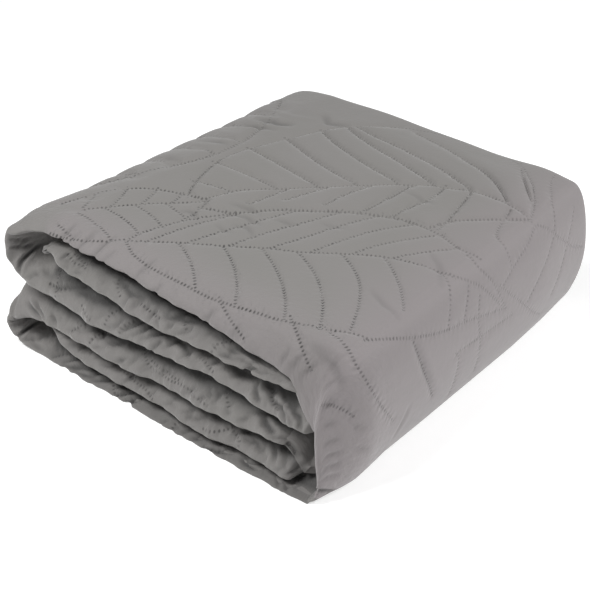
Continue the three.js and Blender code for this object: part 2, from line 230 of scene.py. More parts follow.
# %% One turn of the route
def turn_arc(start, end, reach, t, power):
    """Half a squared ellipse from one level to the other, with a power above and below its middle."""
    rising = end[1] > start[1]
    angle = ((t if rising else 1 - t) - 0.5) * math.pi
    exponent = 2 / np.where(angle > 0, power[0], power[1])
    half = abs(end[1] - start[1]) / 2
    level = (start[1] + end[1]) / 2 + half * np.sign(angle) * np.abs(np.sin(angle)) ** exponent
    return np.column_stack([start[0] + reach * np.cos(angle) ** exponent, level])


def turn_section(
    turn, reach, ply, lip, front, before, after, slope=0, swap=None, power=ROUND_TURN, blunt=0
):
    hand = 1 if turn == "right" else -1
    t = np.linspace(0, 1, TURN_STEPS + 1)[1:-1]
    middle = np.sin(t * math.pi)
    start = {key: before[key][-1] for key in before}
    end = {key: after[key][0] for key in after}
    spread = {key: abs(end[key][1] - start[key][1]) for key in ("good", "back")}
    outside = "good" if spread["good"] > spread["back"] else "back"

    def arc(key, side, thickness):
        if side == outside:
            return turn_arc(start[key], end[key], hand * reach, t, power)
        return turn_arc(start[key], end[key], hand * (reach - thickness), t, ROUND_TURN)

    own_slope = slope if outside == "good" else -slope
    slopes = mix(mix(start["slope"], end["slope"], t), own_slope, middle)
    if swap:
        slopes = mix(start["slope"], end["slope"], smooth(t, *swap))
    steady = ("back_edge", "wave", "long", "fade", "pinch")
    return dict(
        {key: mix(start[key], end[key], t) for key in steady},
        good=arc("good", "good", ply), back=arc("back", "back", ply),
        lip_good=arc("lip_good", "good", lip), lip_back=arc("lip_back", "back", lip),
        slope=slopes, blunt=blunt * middle**2,
        front=mix(mix(start["front"], end["front"], smooth(t, 0, 1)), front, middle**2),
        pinch_at=mix(start["pinch_at"], end["pinch_at"], t[:, None]),
    )


# %% Lay the whole route
runs = [run_section(**section) if "run" in section else None for section in ROUTE]
sections = [
    runs[i] if "run" in section else turn_section(**section, before=runs[i - 1], after=runs[i + 1])
    for i, section in enumerate(ROUTE)
]
route = {key: np.concatenate([section[key] for section in sections]) for key in sections[0]}
steps = {
    key: np.linalg.norm(np.diff(route[key], axis=0, prepend=route[key][:1]), axis=1)
    for key in ("good", "back")
}
route["along"] = np.cumsum(steps["good"])
route["place"] = np.cumsum(np.maximum(steps["good"], steps["back"]))
ends = np.cumsum([len(section["slope"]) for section in sections]) - 1
starts = ends - [len(section["slope"]) - 1 for section in sections]
names = [section.get("run", section.get("turn")) for section in ROUTE]
names[names.index("top") - 1], names[-2] = "upper_roll", "lower_roll"
top_index = names.index("top")
route["quilt"] = route["along"] - route["along"][starts[top_index]] + LEFT_END + ROLL_DEPTH
route_length = route["place"][-1]
print("route:", len(route["place"]), "stations,", round(route_length), "mm")


def spot(name, x, up):
    """Place and walk of a point on a ply: x along the parcel and a distance up its open face."""
    i = names.index(name)
    first, last = route["place"][starts[i]], route["place"][ends[i]]
    if name in PLIES:
        run = ROUTE[i]
        share = (x - run["start"]) / (run["end"] - run["start"])
        return first + share * (last - first), up * math.copysign(1, run["end"] - run["start"])
    return first + x, -up


def station(place):
    """The cross-section of the ply at places along the route."""
    found = {}
    for key, values in route.items():
        if values.ndim == 1:
            found[key] = np.interp(place, route["place"], values)
        else:
            both = [np.interp(place, route["place"], column) for column in values.T]
            found[key] = np.stack(both, axis=-1)
    return found


# %% [markdown]
# ## A point of the cloth
#
# Every point has a place along the route and a distance across the cloth. Across is 0 at the front
# lip, grows to +434 on the good face and falls to -434 on the back face, so one smooth function
# covers the lip. At the back the two edges are open hems that lie on each other. The settled stack is
# then a little out of true: higher in the middle, rounded at the wrap's corners and sunk at the back.
# Where the wrap turns down at the front, the fold is a mean over some places, because padded cloth
# makes no sharp corner there. A lattice or a sculpting brush could bend the stack as well, but then
# the creases and welded lines would no longer know their place on it.

# %% How the stack settles
# Each region: where it comes in along x and y, in some also along z, and its amount.
CROWN = 0.02
FRONT_CORNER = 0.03
SAG = dict(amount=0.012, x=47, y=90)
ROUND_FRONT = dict(x=(120, 211), y=(165, 217), z=[0, 40, 80, 125], amount=[9, 14, 21, 24])
TUCK = dict(x=(120, 211), y=(-200, -120), z=(0, 75), amount=7)
DROP_BACK = dict(x=(130, 205), y=(-20, 217), amount=0.035)
DROP_LEFT = dict(x=(150, 211), y=(-225, -70), z=(60, 120), amount=0.07, back=(90, 200), less=0.5)
ROUND_BACK = dict(x=(120, 211), y=(100, 217), amount=6)
LIFT_BACK = dict(x=(60, 160), y=(60, 217), amount=0.03)
HEM_ROUND = 16
HEM_SHARE = 0.55


def openness(distance, length, power=TURN_POWER):
    return (1 - np.clip(1 - distance / length, 0, 1) ** power) ** (1 / power)


def region(sizes, x, y):
    """The amount of a region, which comes in softly along x and y."""
    return sizes["amount"] * smooth(x, *sizes["x"]) * smooth(y, *sizes["y"])


def settle(x, y, z):
    """The stack is higher at its front left corner and in the middle, and never quite level."""
    right = x / LENGTH + 0.5
    depth = y / DEPTH + 0.5
    crown = CROWN * np.sin(math.pi * right) * np.sin(math.pi * depth)
    corner = FRONT_CORNER * (1 - right) * (1 - depth)
    sag = SAG["amount"] * np.sin(x / SAG["x"] + y / SAG["y"]) * (1 - right)
    front_round = smooth(x, *ROUND_FRONT["x"]) * smooth(-y, *ROUND_FRONT["y"])
    front_round = front_round * np.interp(z, ROUND_FRONT["z"], ROUND_FRONT["amount"])
    tuck = region(TUCK, x, y) * (1 - smooth(z, *TUCK["z"]))
    drop_left = region(DROP_LEFT, -x, y) * smooth(z, *DROP_LEFT["z"])
    drop_left = drop_left * (1 - DROP_LEFT["less"] * smooth(y, *DROP_LEFT["back"]))
    lift = region(LIFT_BACK, x, y) - region(DROP_BACK, x, y) - drop_left
    x = x - front_round - tuck
    x = x - region(ROUND_BACK, x, y)
    return np.stack([x - BACK_TAPER * right * depth, y, z * (1 + crown + corner + sag + lift)], axis=-1)


# %% Waves of the lips and of the back edge
WAVE_FADE = 30
# Height, length and phase of each ripple along a lip; a third and finer one wanders.
RIPPLES = [(0.3, 15.5, 0), (0.35, 6.7, 1)]
FINE_RIPPLE = dict(height=0.2, length=3.1, wander=2, drift=41)
BACK_WAVE = dict(height=0.4, length=19, phase=2)


def waves(along, y):
    """How far a lip comes forward in waves, and how far the back edge does."""
    ripple = sum(height * np.sin(along / length + phase) for height, length, phase in RIPPLES)
    drift = FINE_RIPPLE["wander"] * np.sin(along / FINE_RIPPLE["drift"])
    ripple = ripple + FINE_RIPPLE["height"] * np.sin(along / FINE_RIPPLE["length"] + drift)
    swing = BACK_WAVE["height"] * np.sin(along / BACK_WAVE["length"] + BACK_WAVE["phase"])
    return ripple * (1 - smooth(y, 0, WAVE_FADE)) - swing * (1 - smooth(DEPTH - y, 0, WAVE_FADE))


# %% Place of a point on the cloth
def sharp_point(place, across):
    s = station(place)
    side = np.where(across < 0, -1.0, 1.0)
    y = np.abs(across)
    is_front = y < DEPTH / 2
    lip_share = 1 - smooth(y, LIP_FADE[0], s["fade"])
    long_share = (1 + side * s["slope"]) / 2
    front_round = mix(LIP_SHORT + RIM_SHORT * s["blunt"], s["long"], long_share)
    power = mix(TURN_POWER, mix(LIP_POWER, RIM_POWER, s["blunt"]), long_share)
    at_hem = mix(HEM_SHARE, 1, openness(DEPTH - y, HEM_ROUND))
    opened = np.where(is_front, openness(y, front_round, power), at_hem)
    hang = LIP_HANG * (1 - RIM_HANG * s["blunt"]) * s["slope"] * (1 - opened)
    hang = np.where(is_front, hang, 0)
    good = mix(s["good"], s["lip_good"], lip_share[..., None])
    back = mix(s["back"], s["lip_back"], lip_share[..., None])
    drawn = PINCH_SHARE * s["pinch"] * smooth(y, *PINCH_RISE) * (1 - smooth(y, *PINCH_FALL))
    drawn = np.where(across < 0, drawn, 0)
    pull = (s["pinch_at"] - back) * np.stack([s["pinch"], np.ones_like(s["pinch"])], axis=-1)
    back = back + drawn[..., None] * pull
    flat = (good + back) / 2 + (good - back) / 2 * (side * opened - hang)[..., None]
    t = y / DEPTH
    depth = y - DEPTH / 2 + s["front"] * (1 - t) - s["back_edge"] * t
    depth = depth + s["wave"] * waves(s["along"], y) + PINCH_DEEP * drawn
    return settle(flat[..., 0], depth, flat[..., 1])


# %% The wrap's soft front corner
SOFT_WIDTH = 15
SOFT_QUILT = (140, 175)
SOFT_END = 345
SOFT_ACROSS = (70, 130)
SOFT_SHARES = np.linspace(-1, 1, 9)
NORMAL_STEPS = (1, 0.4)


def cloth_point(place, across):
    """A point of the cloth; around the wrap's front corner it is a mean over some places."""
    points = sharp_point(place, across)
    quilt = np.interp(place, route["place"], route["quilt"])
    width = SOFT_WIDTH * smooth(quilt, *SOFT_QUILT) * (1 - smooth(np.abs(across), *SOFT_ACROSS))
    soft = (width > 0) & (quilt < SOFT_END)
    around = [sharp_point(place[soft] + share * width[soft], across[soft]) for share in SOFT_SHARES]
    points[soft] = np.mean(around, axis=0)
    return points


def cloth_normal(place, across):
    step, side_step = NORMAL_STEPS
    ahead = cloth_point(np.minimum(place + step, route_length), across)
    behind = cloth_point(np.maximum(place - step, 0), across)
    outer = cloth_point(place, np.minimum(across + side_step, DEPTH))
    inner = cloth_point(place, np.maximum(across - side_step, -DEPTH))
    normal = np.cross(ahead - behind, outer - inner)
    return normal / np.maximum(np.linalg.norm(normal, axis=-1, keepdims=True), 1e-9)


# %% [markdown]
# ## The quilting
#
# The quilting draws leaves: a midrib, an outline and curved veins. Each leaf is worked out from a
# few sizes, as a pattern maker would set it, and a leaf that lies over another hides its lines. The
# welded lines pin the layers together, and the filling puffs up between them.

# %% The leaves, the topmost first
# Each side of a leaf has a width, and powers that lean its widest place to the base and make it full.
# A vein is its start along the midrib and its sweep in degrees, and it curls by so much on its way.
LEAF_STEPS = 48
VEIN_STEPS = 14
TURN_SPAN = 7
SIDE_START = 188
LEAVES = [
    dict(
        spine=[
            (-87, -180), (-48, -148), (-12, -125), (22, -103), (52, -88), (85, -65), (118, -43),
            (155, -30), (190, -25), (228, 5), (252, 47),
        ],
        left=78, left_lean=0.85, left_full=0.9, left_curl=-8,
        left_veins=[(20, 42)] + [(start, 42) for start in range(58, 259, 40)],
        right=130, right_lean=1.5, right_full=0.4, right_curl=40,
        right_veins=[(50, 58), (93, 58), (130, 54), (166, 54), (208, 54), (249, 50)],
        puff=2.8,
    ),
    dict(
        spine=[(-196, -208), (-160, -163), (-125, -118), (-103, -95), (-82, -72)],
        left=36, left_lean=1, left_full=0.8, left_curl=20,
        left_veins=[(start, 52) for start in range(22, 143, 30)],
        right=66, right_lean=1, right_full=0.8, right_curl=26,
        right_veins=[(start, 52) for start in range(15, 136, 30)],
        puff=2.6,
    ),
    dict(
        spine=[
            (190, 112), (158, 118), (115, 115), (95, 106), (75, 98), (48, 77), (15, 46), (-12, 20),
            (-40, -6), (-70, -34), (-84, -64), (-92, -90),
        ],
        left=100, left_lean=1, left_full=0.8, left_curl=0, left_veins=[],
        right=140, right_lean=1, right_full=0.8, right_curl=20,
        right_veins=[
            (32, 40), (76, 41), (116, 49), (153, 51), (197, 51), (236, 51), (280, 51), (325, 51),
        ],
        puff=5.5,
    ),
    dict(
        spine=[(-252, -150), (-250, 30), (-238, 205)],
        left=60, left_lean=1, left_full=0.8, left_curl=26, left_veins=[(30, 66), (190, 66)],
        right=104, right_lean=1, right_full=0.8, right_curl=26,
        right_veins=[(start, 66) for start in range(20, 301, 40)],
        puff=4.5,
    ),
]
# Lines of the leaves that go over the right edge and down the side: rows of quilt and flat places.
SIDE_LINES = [
    [(182, 13), (197, 11), (218, 27), (252, 47)],
    [(188, -157), (199, -136), (211, -108), (226, -62), (235, -19), (252, 47)],
    [(155, -30), (175, -27), (193, -20), (212, 5), (228, 22), (250, 43)], [(207, -13), (233, -26)],
    [(185, -31), (205, -42), (228, -52)], [(266, 58), (263, 8), (260, -30)],
    [(222, 2), (242, -1), (270, 4), (305, 8)], [(260, -38), (268, -33), (311, -32)],
    [(215, -105), (252, -90), (288, -72)],
    [(148, -169), (172, -175), (198, -181), (218, -175), (248, -160), (278, -138)],
    [(215, -222), (232, -205), (248, -190)], [(212, 188), (232, 175), (258, 160), (285, 145)],
    [(260, 205), (248, 182), (225, 152), (205, 128), (198, 113), (207, 92), (215, 68), (228, 42)],
    [(197, 152), (215, 143)], [(222, 138), (238, 122), (265, 90)],
    [(305, 132), (288, 108), (265, 82), (238, 52), (225, 38)],
    [(167, 108), (173, 82), (182, 62), (198, 58), (215, 60)],
    [(115, 112), (122, 82), (128, 55), (131, 34)], [(87, 104), (90, 73), (85, 48), (82, 25)],
    [(62, 88), (58, 72), (57, 48), (53, 5)], [(28, 58), (19, 28), (15, -5)],
    [(-4, 28), (-12, 8), (-22, -22)], [(-35, -2), (-40, -25), (-45, -50)],
    [(167, 195), (175, 178), (192, 155)], [(120, 197), (138, 175), (158, 155), (173, 141)],
    [(45, -192), (65, -203), (88, -213)], [(117, -177), (140, -192), (165, -209)],
]


# %% A smooth line
def soft_line(points, count=8):
    """A smooth line through given points."""
    points = np.array(points, float)
    padded = np.vstack([2 * points[0] - points[1], points, 2 * points[-1] - points[-2]])
    made = [points[0]]
    for k in range(len(points) - 1):
        a, b, c, d = padded[k : k + 4]
        for t in np.linspace(0, 1, count + 1)[1:]:
            bend = -a + 3 * b - 3 * c + d
            made.append(0.5 * (2 * b + (c - a) * t + (2 * a - 5 * b + 4 * c - d) * t**2 + bend * t**3))
    return np.array(made)


# %% Draw one leaf as lines
def draw_leaf(leaf):
    """The lines of one leaf and its border, each as an array of points."""
    spine = soft_line(leaf["spine"])
    spine_along = np.concatenate([[0], np.cumsum(np.linalg.norm(np.diff(spine, axis=0), axis=1))])
    length = spine_along[-1]
    step = length / LEAF_STEPS
    midrib = np.column_stack([
        np.interp(np.arange(LEAF_STEPS + 1) * step, spine_along, spine[:, k]) for k in (0, 1)
    ])
    nodes = np.arange(LEAF_STEPS + 1)
    ahead, behind = np.minimum(nodes + TURN_SPAN, LEAF_STEPS), np.maximum(nodes - TURN_SPAN, 0)
    direction = midrib[ahead] - midrib[behind]
    direction /= np.linalg.norm(direction, axis=1, keepdims=True)
    sideways = np.column_stack([-direction[:, 1], direction[:, 0]])

    def at(along, across):
        place = np.clip(along / step, 0, LEAF_STEPS - 1e-6)
        i = int(place)
        t = place - i
        return mix(midrib[i], midrib[i + 1], t) + across * mix(sideways[i], sideways[i + 1], t)

    def half_width(along, width):
        side = "left" if width > 0 else "right"
        share = np.clip(along / length, 0, 1) ** leaf[side + "_lean"]
        return abs(width) * max(0.0, math.sin(math.pi * share)) ** leaf[side + "_full"]

    def outline(width):
        edge = [math.copysign(half_width(k * step, width), width) for k in range(LEAF_STEPS + 1)]
        return np.array([at(k * step, across) for k, across in enumerate(edge)])

    def vein(start, width, sweep, curl):
        line, along, across = [at(start, 0)], start, 0.0
        for k in range(VEIN_STEPS):
            rise = min(abs(width) / VEIN_STEPS, half_width(along, width) - across)
            if rise <= 0:
                break
            across += rise
            along += rise / math.tan(math.radians(sweep + curl * (k + 0.5) / VEIN_STEPS))
            line.append(at(along, math.copysign(across, width)))
        return np.array(line)

    left, right = outline(leaf["left"]), outline(-leaf["right"])
    lines = [midrib, left, right]
    for side, sign in (("left", 1), ("right", -1)):
        for start, sweep in leaf[side + "_veins"]:
            lines.append(vein(start, sign * leaf[side], sweep, leaf[side + "_curl"]))
    return lines, np.vstack([left, right[::-1]])


def is_inside(points, border):
    x, y = points[:, 0], points[:, 1]
    inside = np.zeros(len(points), bool)
    for (x0, y0), (x1, y1) in zip(np.roll(border, 1, axis=0), border):
        if y0 == y1:
            continue
        inside ^= ((y0 > y) != (y1 > y)) & (x < x0 + (x1 - x0) * (y - y0) / (y1 - y0))
    return inside


# %% Collect the welded lines as short pieces
def line_pieces(line):
    """Rows of start x, start y, end x, end y and the distance of the start along the line."""
    lengths = np.linalg.norm(np.diff(line, axis=0), axis=1)
    along = np.concatenate([[0], np.cumsum(lengths)[:-1]])
    return np.column_stack([line[:-1], line[1:], along])[lengths > 1e-6]


def quilt_pieces(leaves, extra):
    rows = []
    borders = []
    for leaf in leaves:
        lines, border = draw_leaf(leaf)
        for line in lines:
            own = line_pieces(line)
            centre = (own[:, :2] + own[:, 2:4]) / 2
            own, centre = own[centre[:, 0] < SIDE_START], centre[centre[:, 0] < SIDE_START]
            for cover in borders:
                own, centre = own[~is_inside(centre, cover)], centre[~is_inside(centre, cover)]
            rows.append(own)
        borders.append(border)
    rows += [line_pieces(soft_line(line)) for line in extra]
    return np.vstack(rows), borders


TOP_PIECES, TOP_BORDERS = quilt_pieces(LEAVES, SIDE_LINES)

# On the other plies the same leaves return at a steady distance along and across the cloth.
REPEAT = 560
STAGGER = 150
INNER_PIECES = []
for k in range(-6, 7):
    for j in (-1, 0, 1):
        shift = np.array([k * REPEAT + j * STAGGER, j * DEPTH])
        moved = TOP_PIECES.copy()
        moved[:, 0:2] += shift
        moved[:, 2:4] += shift
        INNER_PIECES.append(moved)
INNER_PIECES = np.vstack(INNER_PIECES)
print("welded lines:", len(TOP_PIECES), "pieces on the top,", len(INNER_PIECES), "on the rest")

# %% Welded lines that show on the front lips
# Each is a row of points: x along the parcel and the distance up the lip's face from its rim.
LIP_LINE_STEPS = 3
LIP_WELDS = dict(
    upper_nose=[
        [(-142, 13), (-136, 12), (-130, 11), (-122, 12), (-115, 11)],
        [(-134, 18), (-127, 17), (-118, 15)], [(-74, 17), (-70, 11), (-66, 8)],
        [(-36, 11), (-26, 10), (-18, 9), (-12, 9)], [(14, 14), (18, 10)],
        [(68, 20), (62, 15), (58, 10), (57, 4), (57, -2)],
    ],
    middle_top=[
        [(-162, 35), (-158, 29), (-156, 22), (-153, 13), (-149, 4)],
        [(-160, 9), (-152, 10), (-142, 13)], [(-112, 8), (-101, 4)],
        [(-70, 24), (-77, 16), (-79, 9), (-80, 4)], [(-59, 5), (-58, 10), (-53, 16)],
        [(39, 10), (47, 7), (55, 4)], [(119, 18), (124, 11), (132, 6)],
    ],
    middle_low=[
        [(-116, 19), (-123, 12), (-129, 5)], [(-93, 20), (-99, 12), (-102, 5), (-101, 0)],
        [(-38, 22), (-31, 14), (-26, 10), (-19, 8), (-6, 7), (9, 7), (20, 8), (36, 6), (53, 4)],
        [(-24, 14), (-15, 12), (0, 11), (12, 10)], [(67, 22), (74, 13)], [(150, 3), (156, 3), (160, 3)],
    ],
    lower_nose=[
        [(-60, 12), (-47, 8), (-30, 6), (-20, 3)], [(53, 4), (63, 6), (72, 11), (77, 16)],
        [(82, 11), (91, 7), (93, 1)],
    ],
    bottom=[
        [(-76, 9), (-70, 4), (-65, 1), (-59, 4), (-50, 12)], [(13, 0), (13, 7), (18, 14)],
        [(-50, 0), (-44, 5), (-39, 11), (-32, 16)], [(56, 0), (66, 2), (77, 7)],
    ],
)
LIP_PIECES = np.vstack([
    line_pieces(soft_line([spot(name, *point) for point in line], LIP_LINE_STEPS))
    for name, lines in LIP_WELDS.items() for line in lines
])

print("welded lines on the lips:", len(LIP_PIECES), "pieces")

# %% Nearest place on the quilting
BIN = 40
REACH = 45
FAR = 99.0


def nearest_in(points, pieces):
    """Distance, index of the piece and nearest place for each point."""
    distance = np.full(len(points), FAR)
    index = np.zeros(len(points), int)
    low, high = np.minimum(pieces[:, :2], pieces[:, 2:4]), np.maximum(pieces[:, :2], pieces[:, 2:4])
    cells = np.floor(points / BIN).astype(int)
    for cell in np.unique(cells, axis=0):
        mine = np.flatnonzero((cells == cell).all(axis=1))
        corner = cell * BIN
        close = np.flatnonzero(((high > corner - REACH) & (low < corner + BIN + REACH)).all(axis=1))
        if not len(close):
            continue
        start, end = pieces[close, :2], pieces[close, 2:4]
        run = end - start
        offset = points[mine][:, None] - start[None]
        t = np.clip((offset * run).sum(-1) / (run * run).sum(-1), 0, 1)
        gap = np.linalg.norm(offset - t[..., None] * run, axis=-1)
        best = gap.argmin(axis=1)
        distance[mine] = gap[np.arange(len(mine)), best]
        index[mine] = close[best]
    start, run = pieces[index, :2], pieces[index, 2:4] - pieces[index, :2]
    t = np.clip(((points - start) * run).sum(-1) / (run * run).sum(-1), 0, 1)
    return distance, index, start + t[:, None] * run


TOP_RANGE = (-300, 330)
TOP_UNDER = -60
LIP_BAND = 48
LINE_SETS = [TOP_PIECES, LIP_PIECES, INNER_PIECES]


def line_set(place, walk, quilt, flat):
    """Which lines each point uses (0 top, 1 lips, 2 the rest), and its coordinates among them."""
    is_top = (quilt > TOP_RANGE[0]) & (quilt < TOP_RANGE[1]) & (flat > TOP_UNDER)
    is_roll = is_top & (quilt < LEFT_END + ROLL_DEPTH) & (walk < LIP_BAND) & (walk > -LIP_BAND)
    is_top &= ~is_roll
    which = np.where(is_top, 0, np.where(np.abs(walk) < LIP_BAND, 1, 2))
    x = np.where(which == 1, place, quilt)
    y = np.where(which == 1, walk, flat - np.where(is_top, DEPTH / 2, 0))
    return which, np.column_stack([x, y])


def nearest_weld(place, walk, quilt, flat):
    which, points = line_set(place, walk, quilt, flat)
    distance, index = np.full(len(points), FAR), np.zeros(len(points), int)
    nearest = points.copy()
    for k, pieces in enumerate(LINE_SETS):
        mine = which == k
        if mine.any():
            distance[mine], index[mine], nearest[mine] = nearest_in(points[mine], pieces)
    return distance, index, nearest - points, which, points


# %% [markdown]
# ## Relief
#
# The filling lifts the cloth between the welded lines. It is highest on the big leaf at the back and
# flattest on the wrap. Near the front lips short puckers cross the edge, because the welds gather the
# cloth there. Each crease is a soft trough along a short line, given in sizes of the cloth, and small
# ones of a seeded chance lie between them. A sculpted mesh could have them too, but a table of lines
# is easy to move and to read.

# %% Height of the filling
PUFF = 3
PUFF_REACH = 15
HIDDEN_FADE = (26, 60)
HIDDEN_SHARE = 0.3
SIDE_PUFF = 0.9


def puff_height(which, points, distance):
    height = np.full(len(points), float(PUFF))
    free = (which == 0) & (points[:, 0] < SIDE_START)
    height[(which == 0) & ~free] = SIDE_PUFF
    for leaf, border in zip(LEAVES, TOP_BORDERS):
        mine = np.flatnonzero(free)
        mine = mine[is_inside(points[mine], border)]
        height[mine] = leaf["puff"]
        free[mine] = False
    share = 1 - np.minimum(1, distance / PUFF_REACH)
    return height * np.sqrt(1 - share**2)


# %% Creases that show in the photo
# Each crease: its path (x along the parcel, distance up the face from the rim), width and depth.
# A ridge has a negative depth.
CREASES = dict(
    upper_nose=[
        ([(-146, 6), (-142, 16)], 2.2, 2.0), ([(-74, 18), (-57, 15), (-38, 18)], 2.4, 1.6),
        ([(-38, 18), (-20, 15), (-5, 11)], 2.2, -1.6), ([(-5, 11), (5, 20), (10, 26)], 2.2, 2.2),
        ([(-3, 13), (13, 16), (25, 20)], 2.2, 1.6), ([(-14, 7), (-8, 0)], 1.8, 0.8),
        ([(69, 13), (87, 12)], 2.0, 1.6), ([(74, 17), (95, 18)], 2.0, 2.0),
        ([(85, 15), (104, 12), (116, 12)], 1.8, 2.2), ([(89, 7), (102, 8), (116, 11)], 1.8, 1.8),
        ([(84, 11), (100, 10), (114, 11)], 1.6, -1.4), ([(65, 2), (90, 9)], 1.8, 1.2),
        ([(97, -2), (103, 6)], 2.4, 2.6), ([(122, 6), (116, -2)], 2.2, -2.0),
        ([(45, 16), (58, 15)], 2.4, 1.0),
    ],
    upper_roll=[
        ([(25, 13), (11, 18), (4, 22)], 2.4, -2.2), ([(21, 10), (6, 16), (-4, 19)], 2.0, 1.8),
        ([(23, 2), (15, 9)], 2.2, 1.4), ([(59, 7), (56, 12), (51, 20), (43, 31)], 1.8, 2.4),
        ([(34, 1), (38, 10), (41, 20), (43, 31)], 2.0, 4.0), ([(48, 8), (45, 19)], 2.4, -2.0),
        ([(70, 6), (62, 18), (50, 30)], 1.8, 2.0), ([(20, 12), (24, 26)], 2.2, -1.8),
    ],
    middle_top=[
        ([(-160, 8), (-148, 10), (-131, 19), (-119, 26)], 2.0, 2.8),
        ([(-156, 4), (-144, 7), (-128, 15)], 2.2, -1.4),
        ([(-131, 14), (-115, 19), (-104, 22), (-92, 24)], 2.6, 2.2),
        ([(-57, 6), (-50, 12), (-42, 20)], 2.0, 2.6),
        ([(-44, 5), (-39, 11), (-32, 19), (-26, 23)], 2.0, 2.8),
        ([(-33, 5), (-26, 12), (-19, 17), (-12, 20)], 2.0, 2.6),
        ([(-52, 4), (-45, 10), (-37, 18)], 2.2, -1.5), ([(-39, 4), (-32, 11), (-25, 18)], 2.2, -1.5),
        ([(-20, -2), (-16, 3), (-12, 8)], 1.8, 2.0), ([(-6, 7), (-2, 11), (5, 18)], 2.0, 2.0),
        ([(5, 16), (14, 15), (25, 9)], 2.2, 2.4), ([(69, 14), (82, 16), (96, 17)], 4.0, 2.2),
        ([(104, 17), (105, 11), (109, 7), (114, 3)], 1.9, 3.0),
        ([(112, 13), (118, 17), (124, 21)], 2.0, -1.4), ([(115, 20), (119, 18), (124, 17)], 2.8, 3.4),
        ([(121, 13), (128, 9), (138, 8), (147, 4), (151, 0)], 1.9, 3.2),
        ([(127, 15), (134, 12), (143, 12)], 2.2, -1.6), ([(131, 20), (137, 17), (141, 12)], 1.8, 1.8),
        ([(141, 20), (147, 17), (151, 15)], 4.0, 4.2),
        ([(152, 17), (156, 11), (164, 9), (171, 2)], 2.2, 3.2),
        ([(144, 9), (152, 7), (158, 2)], 2.0, 1.4),
    ],
    lower_roll=[
        ([(112, -12), (118, -8), (126, -2)], 2.2, 3.0),
        ([(117, -14), (124, -10), (130, -4)], 2.2, -2.0),
        ([(121, -16), (126, -9), (134, -3)], 2.0, 2.4), ([(36, 1), (38, 12), (40, 26)], 1.8, 4.0),
        ([(62, 2), (59, 12), (52, 26)], 1.8, 3.0), ([(47, 8), (48, 22)], 2.4, -2.0),
        ([(30, 2), (24, 8), (14, 14)], 1.8, 2.2), ([(26, 16), (12, 20), (2, 26)], 2.2, 2.0),
        ([(18, 5), (11, 4), (0, 3)], 2.2, 1.6), ([(10, 4), (0, 2)], 2.0, -1.6),
    ],
    middle_low=[
        ([(-160, 10), (-152, 3)], 2.0, 2.2), ([(-114, 16), (-100, 20), (-88, 22)], 3.5, 1.8),
        ([(-87, 13), (-75, 15), (-64, 19)], 2.2, 1.8), ([(-94, 12), (-90, 18)], 2.0, 1.8),
        ([(49, 20), (56, 10)], 2.2, 1.0), ([(57, 21), (61, 13)], 2.2, 1.0),
        ([(100, 14), (110, 18), (124, 22)], 2.2, 2.0),
        ([(114, 14), (118, 9), (125, 7), (131, 7)], 2.4, 4.5),
        ([(118, 16), (128, 12), (140, 10)], 2.0, -2.0),
    ],
    lower_nose=[
        ([(31, 6), (41, 10), (46, 15)], 2.2, 2.0), ([(83, 12), (97, 20)], 2.2, 1.6),
        ([(106, 13), (118, 8)], 2.2, 1.8), ([(118, 15), (118, 7)], 2.0, 1.4),
        ([(127, 18), (136, 8)], 2.4, 1.8), ([(144, 17), (150, 7)], 2.0, 1.4),
        ([(136, 15), (143, 6)], 2.2, -1.2),
    ],
    bottom=[
        ([(-158, 3), (-150, 10), (-140, 18)], 1.8, 2.6),
        ([(-160, 12), (-152, 18), (-146, 26)], 2.0, 2.2),
        ([(-143, 4), (-136, 9), (-126, 15)], 2.0, 2.6), ([(-140, 0), (-116, 8), (-104, 15)], 2.0, 2.8),
        ([(-138, 5), (-122, 10)], 2.0, -1.6), ([(-126, 0), (-112, 3), (-99, 6)], 1.8, 2.2),
        ([(-120, 4), (-104, 9)], 1.8, -1.4), ([(-99, 2), (-92, 6), (-80, 11)], 2.0, 2.6),
        ([(-66, 1), (-58, 6), (-48, 14)], 1.8, 2.4), ([(-68, 11), (-56, 13)], 1.8, 1.8),
        ([(-50, -2), (-44, 5), (-37, 13)], 2.2, 3.2), ([(-54, 2), (-49, 7), (-43, 14)], 1.8, -1.4),
        ([(39, 2), (48, 9)], 2.4, 1.4), ([(56, 0), (71, 4), (82, 10)], 2.0, 2.2),
        ([(96, 9), (103, 6), (112, 6), (118, 14)], 2.4, 2.6), ([(100, 12), (108, 11)], 2.0, -1.8),
        ([(137, 13), (147, 2)], 2.2, 1.2), ([(148, 13), (156, 2)], 2.2, 1.2),
    ],
)

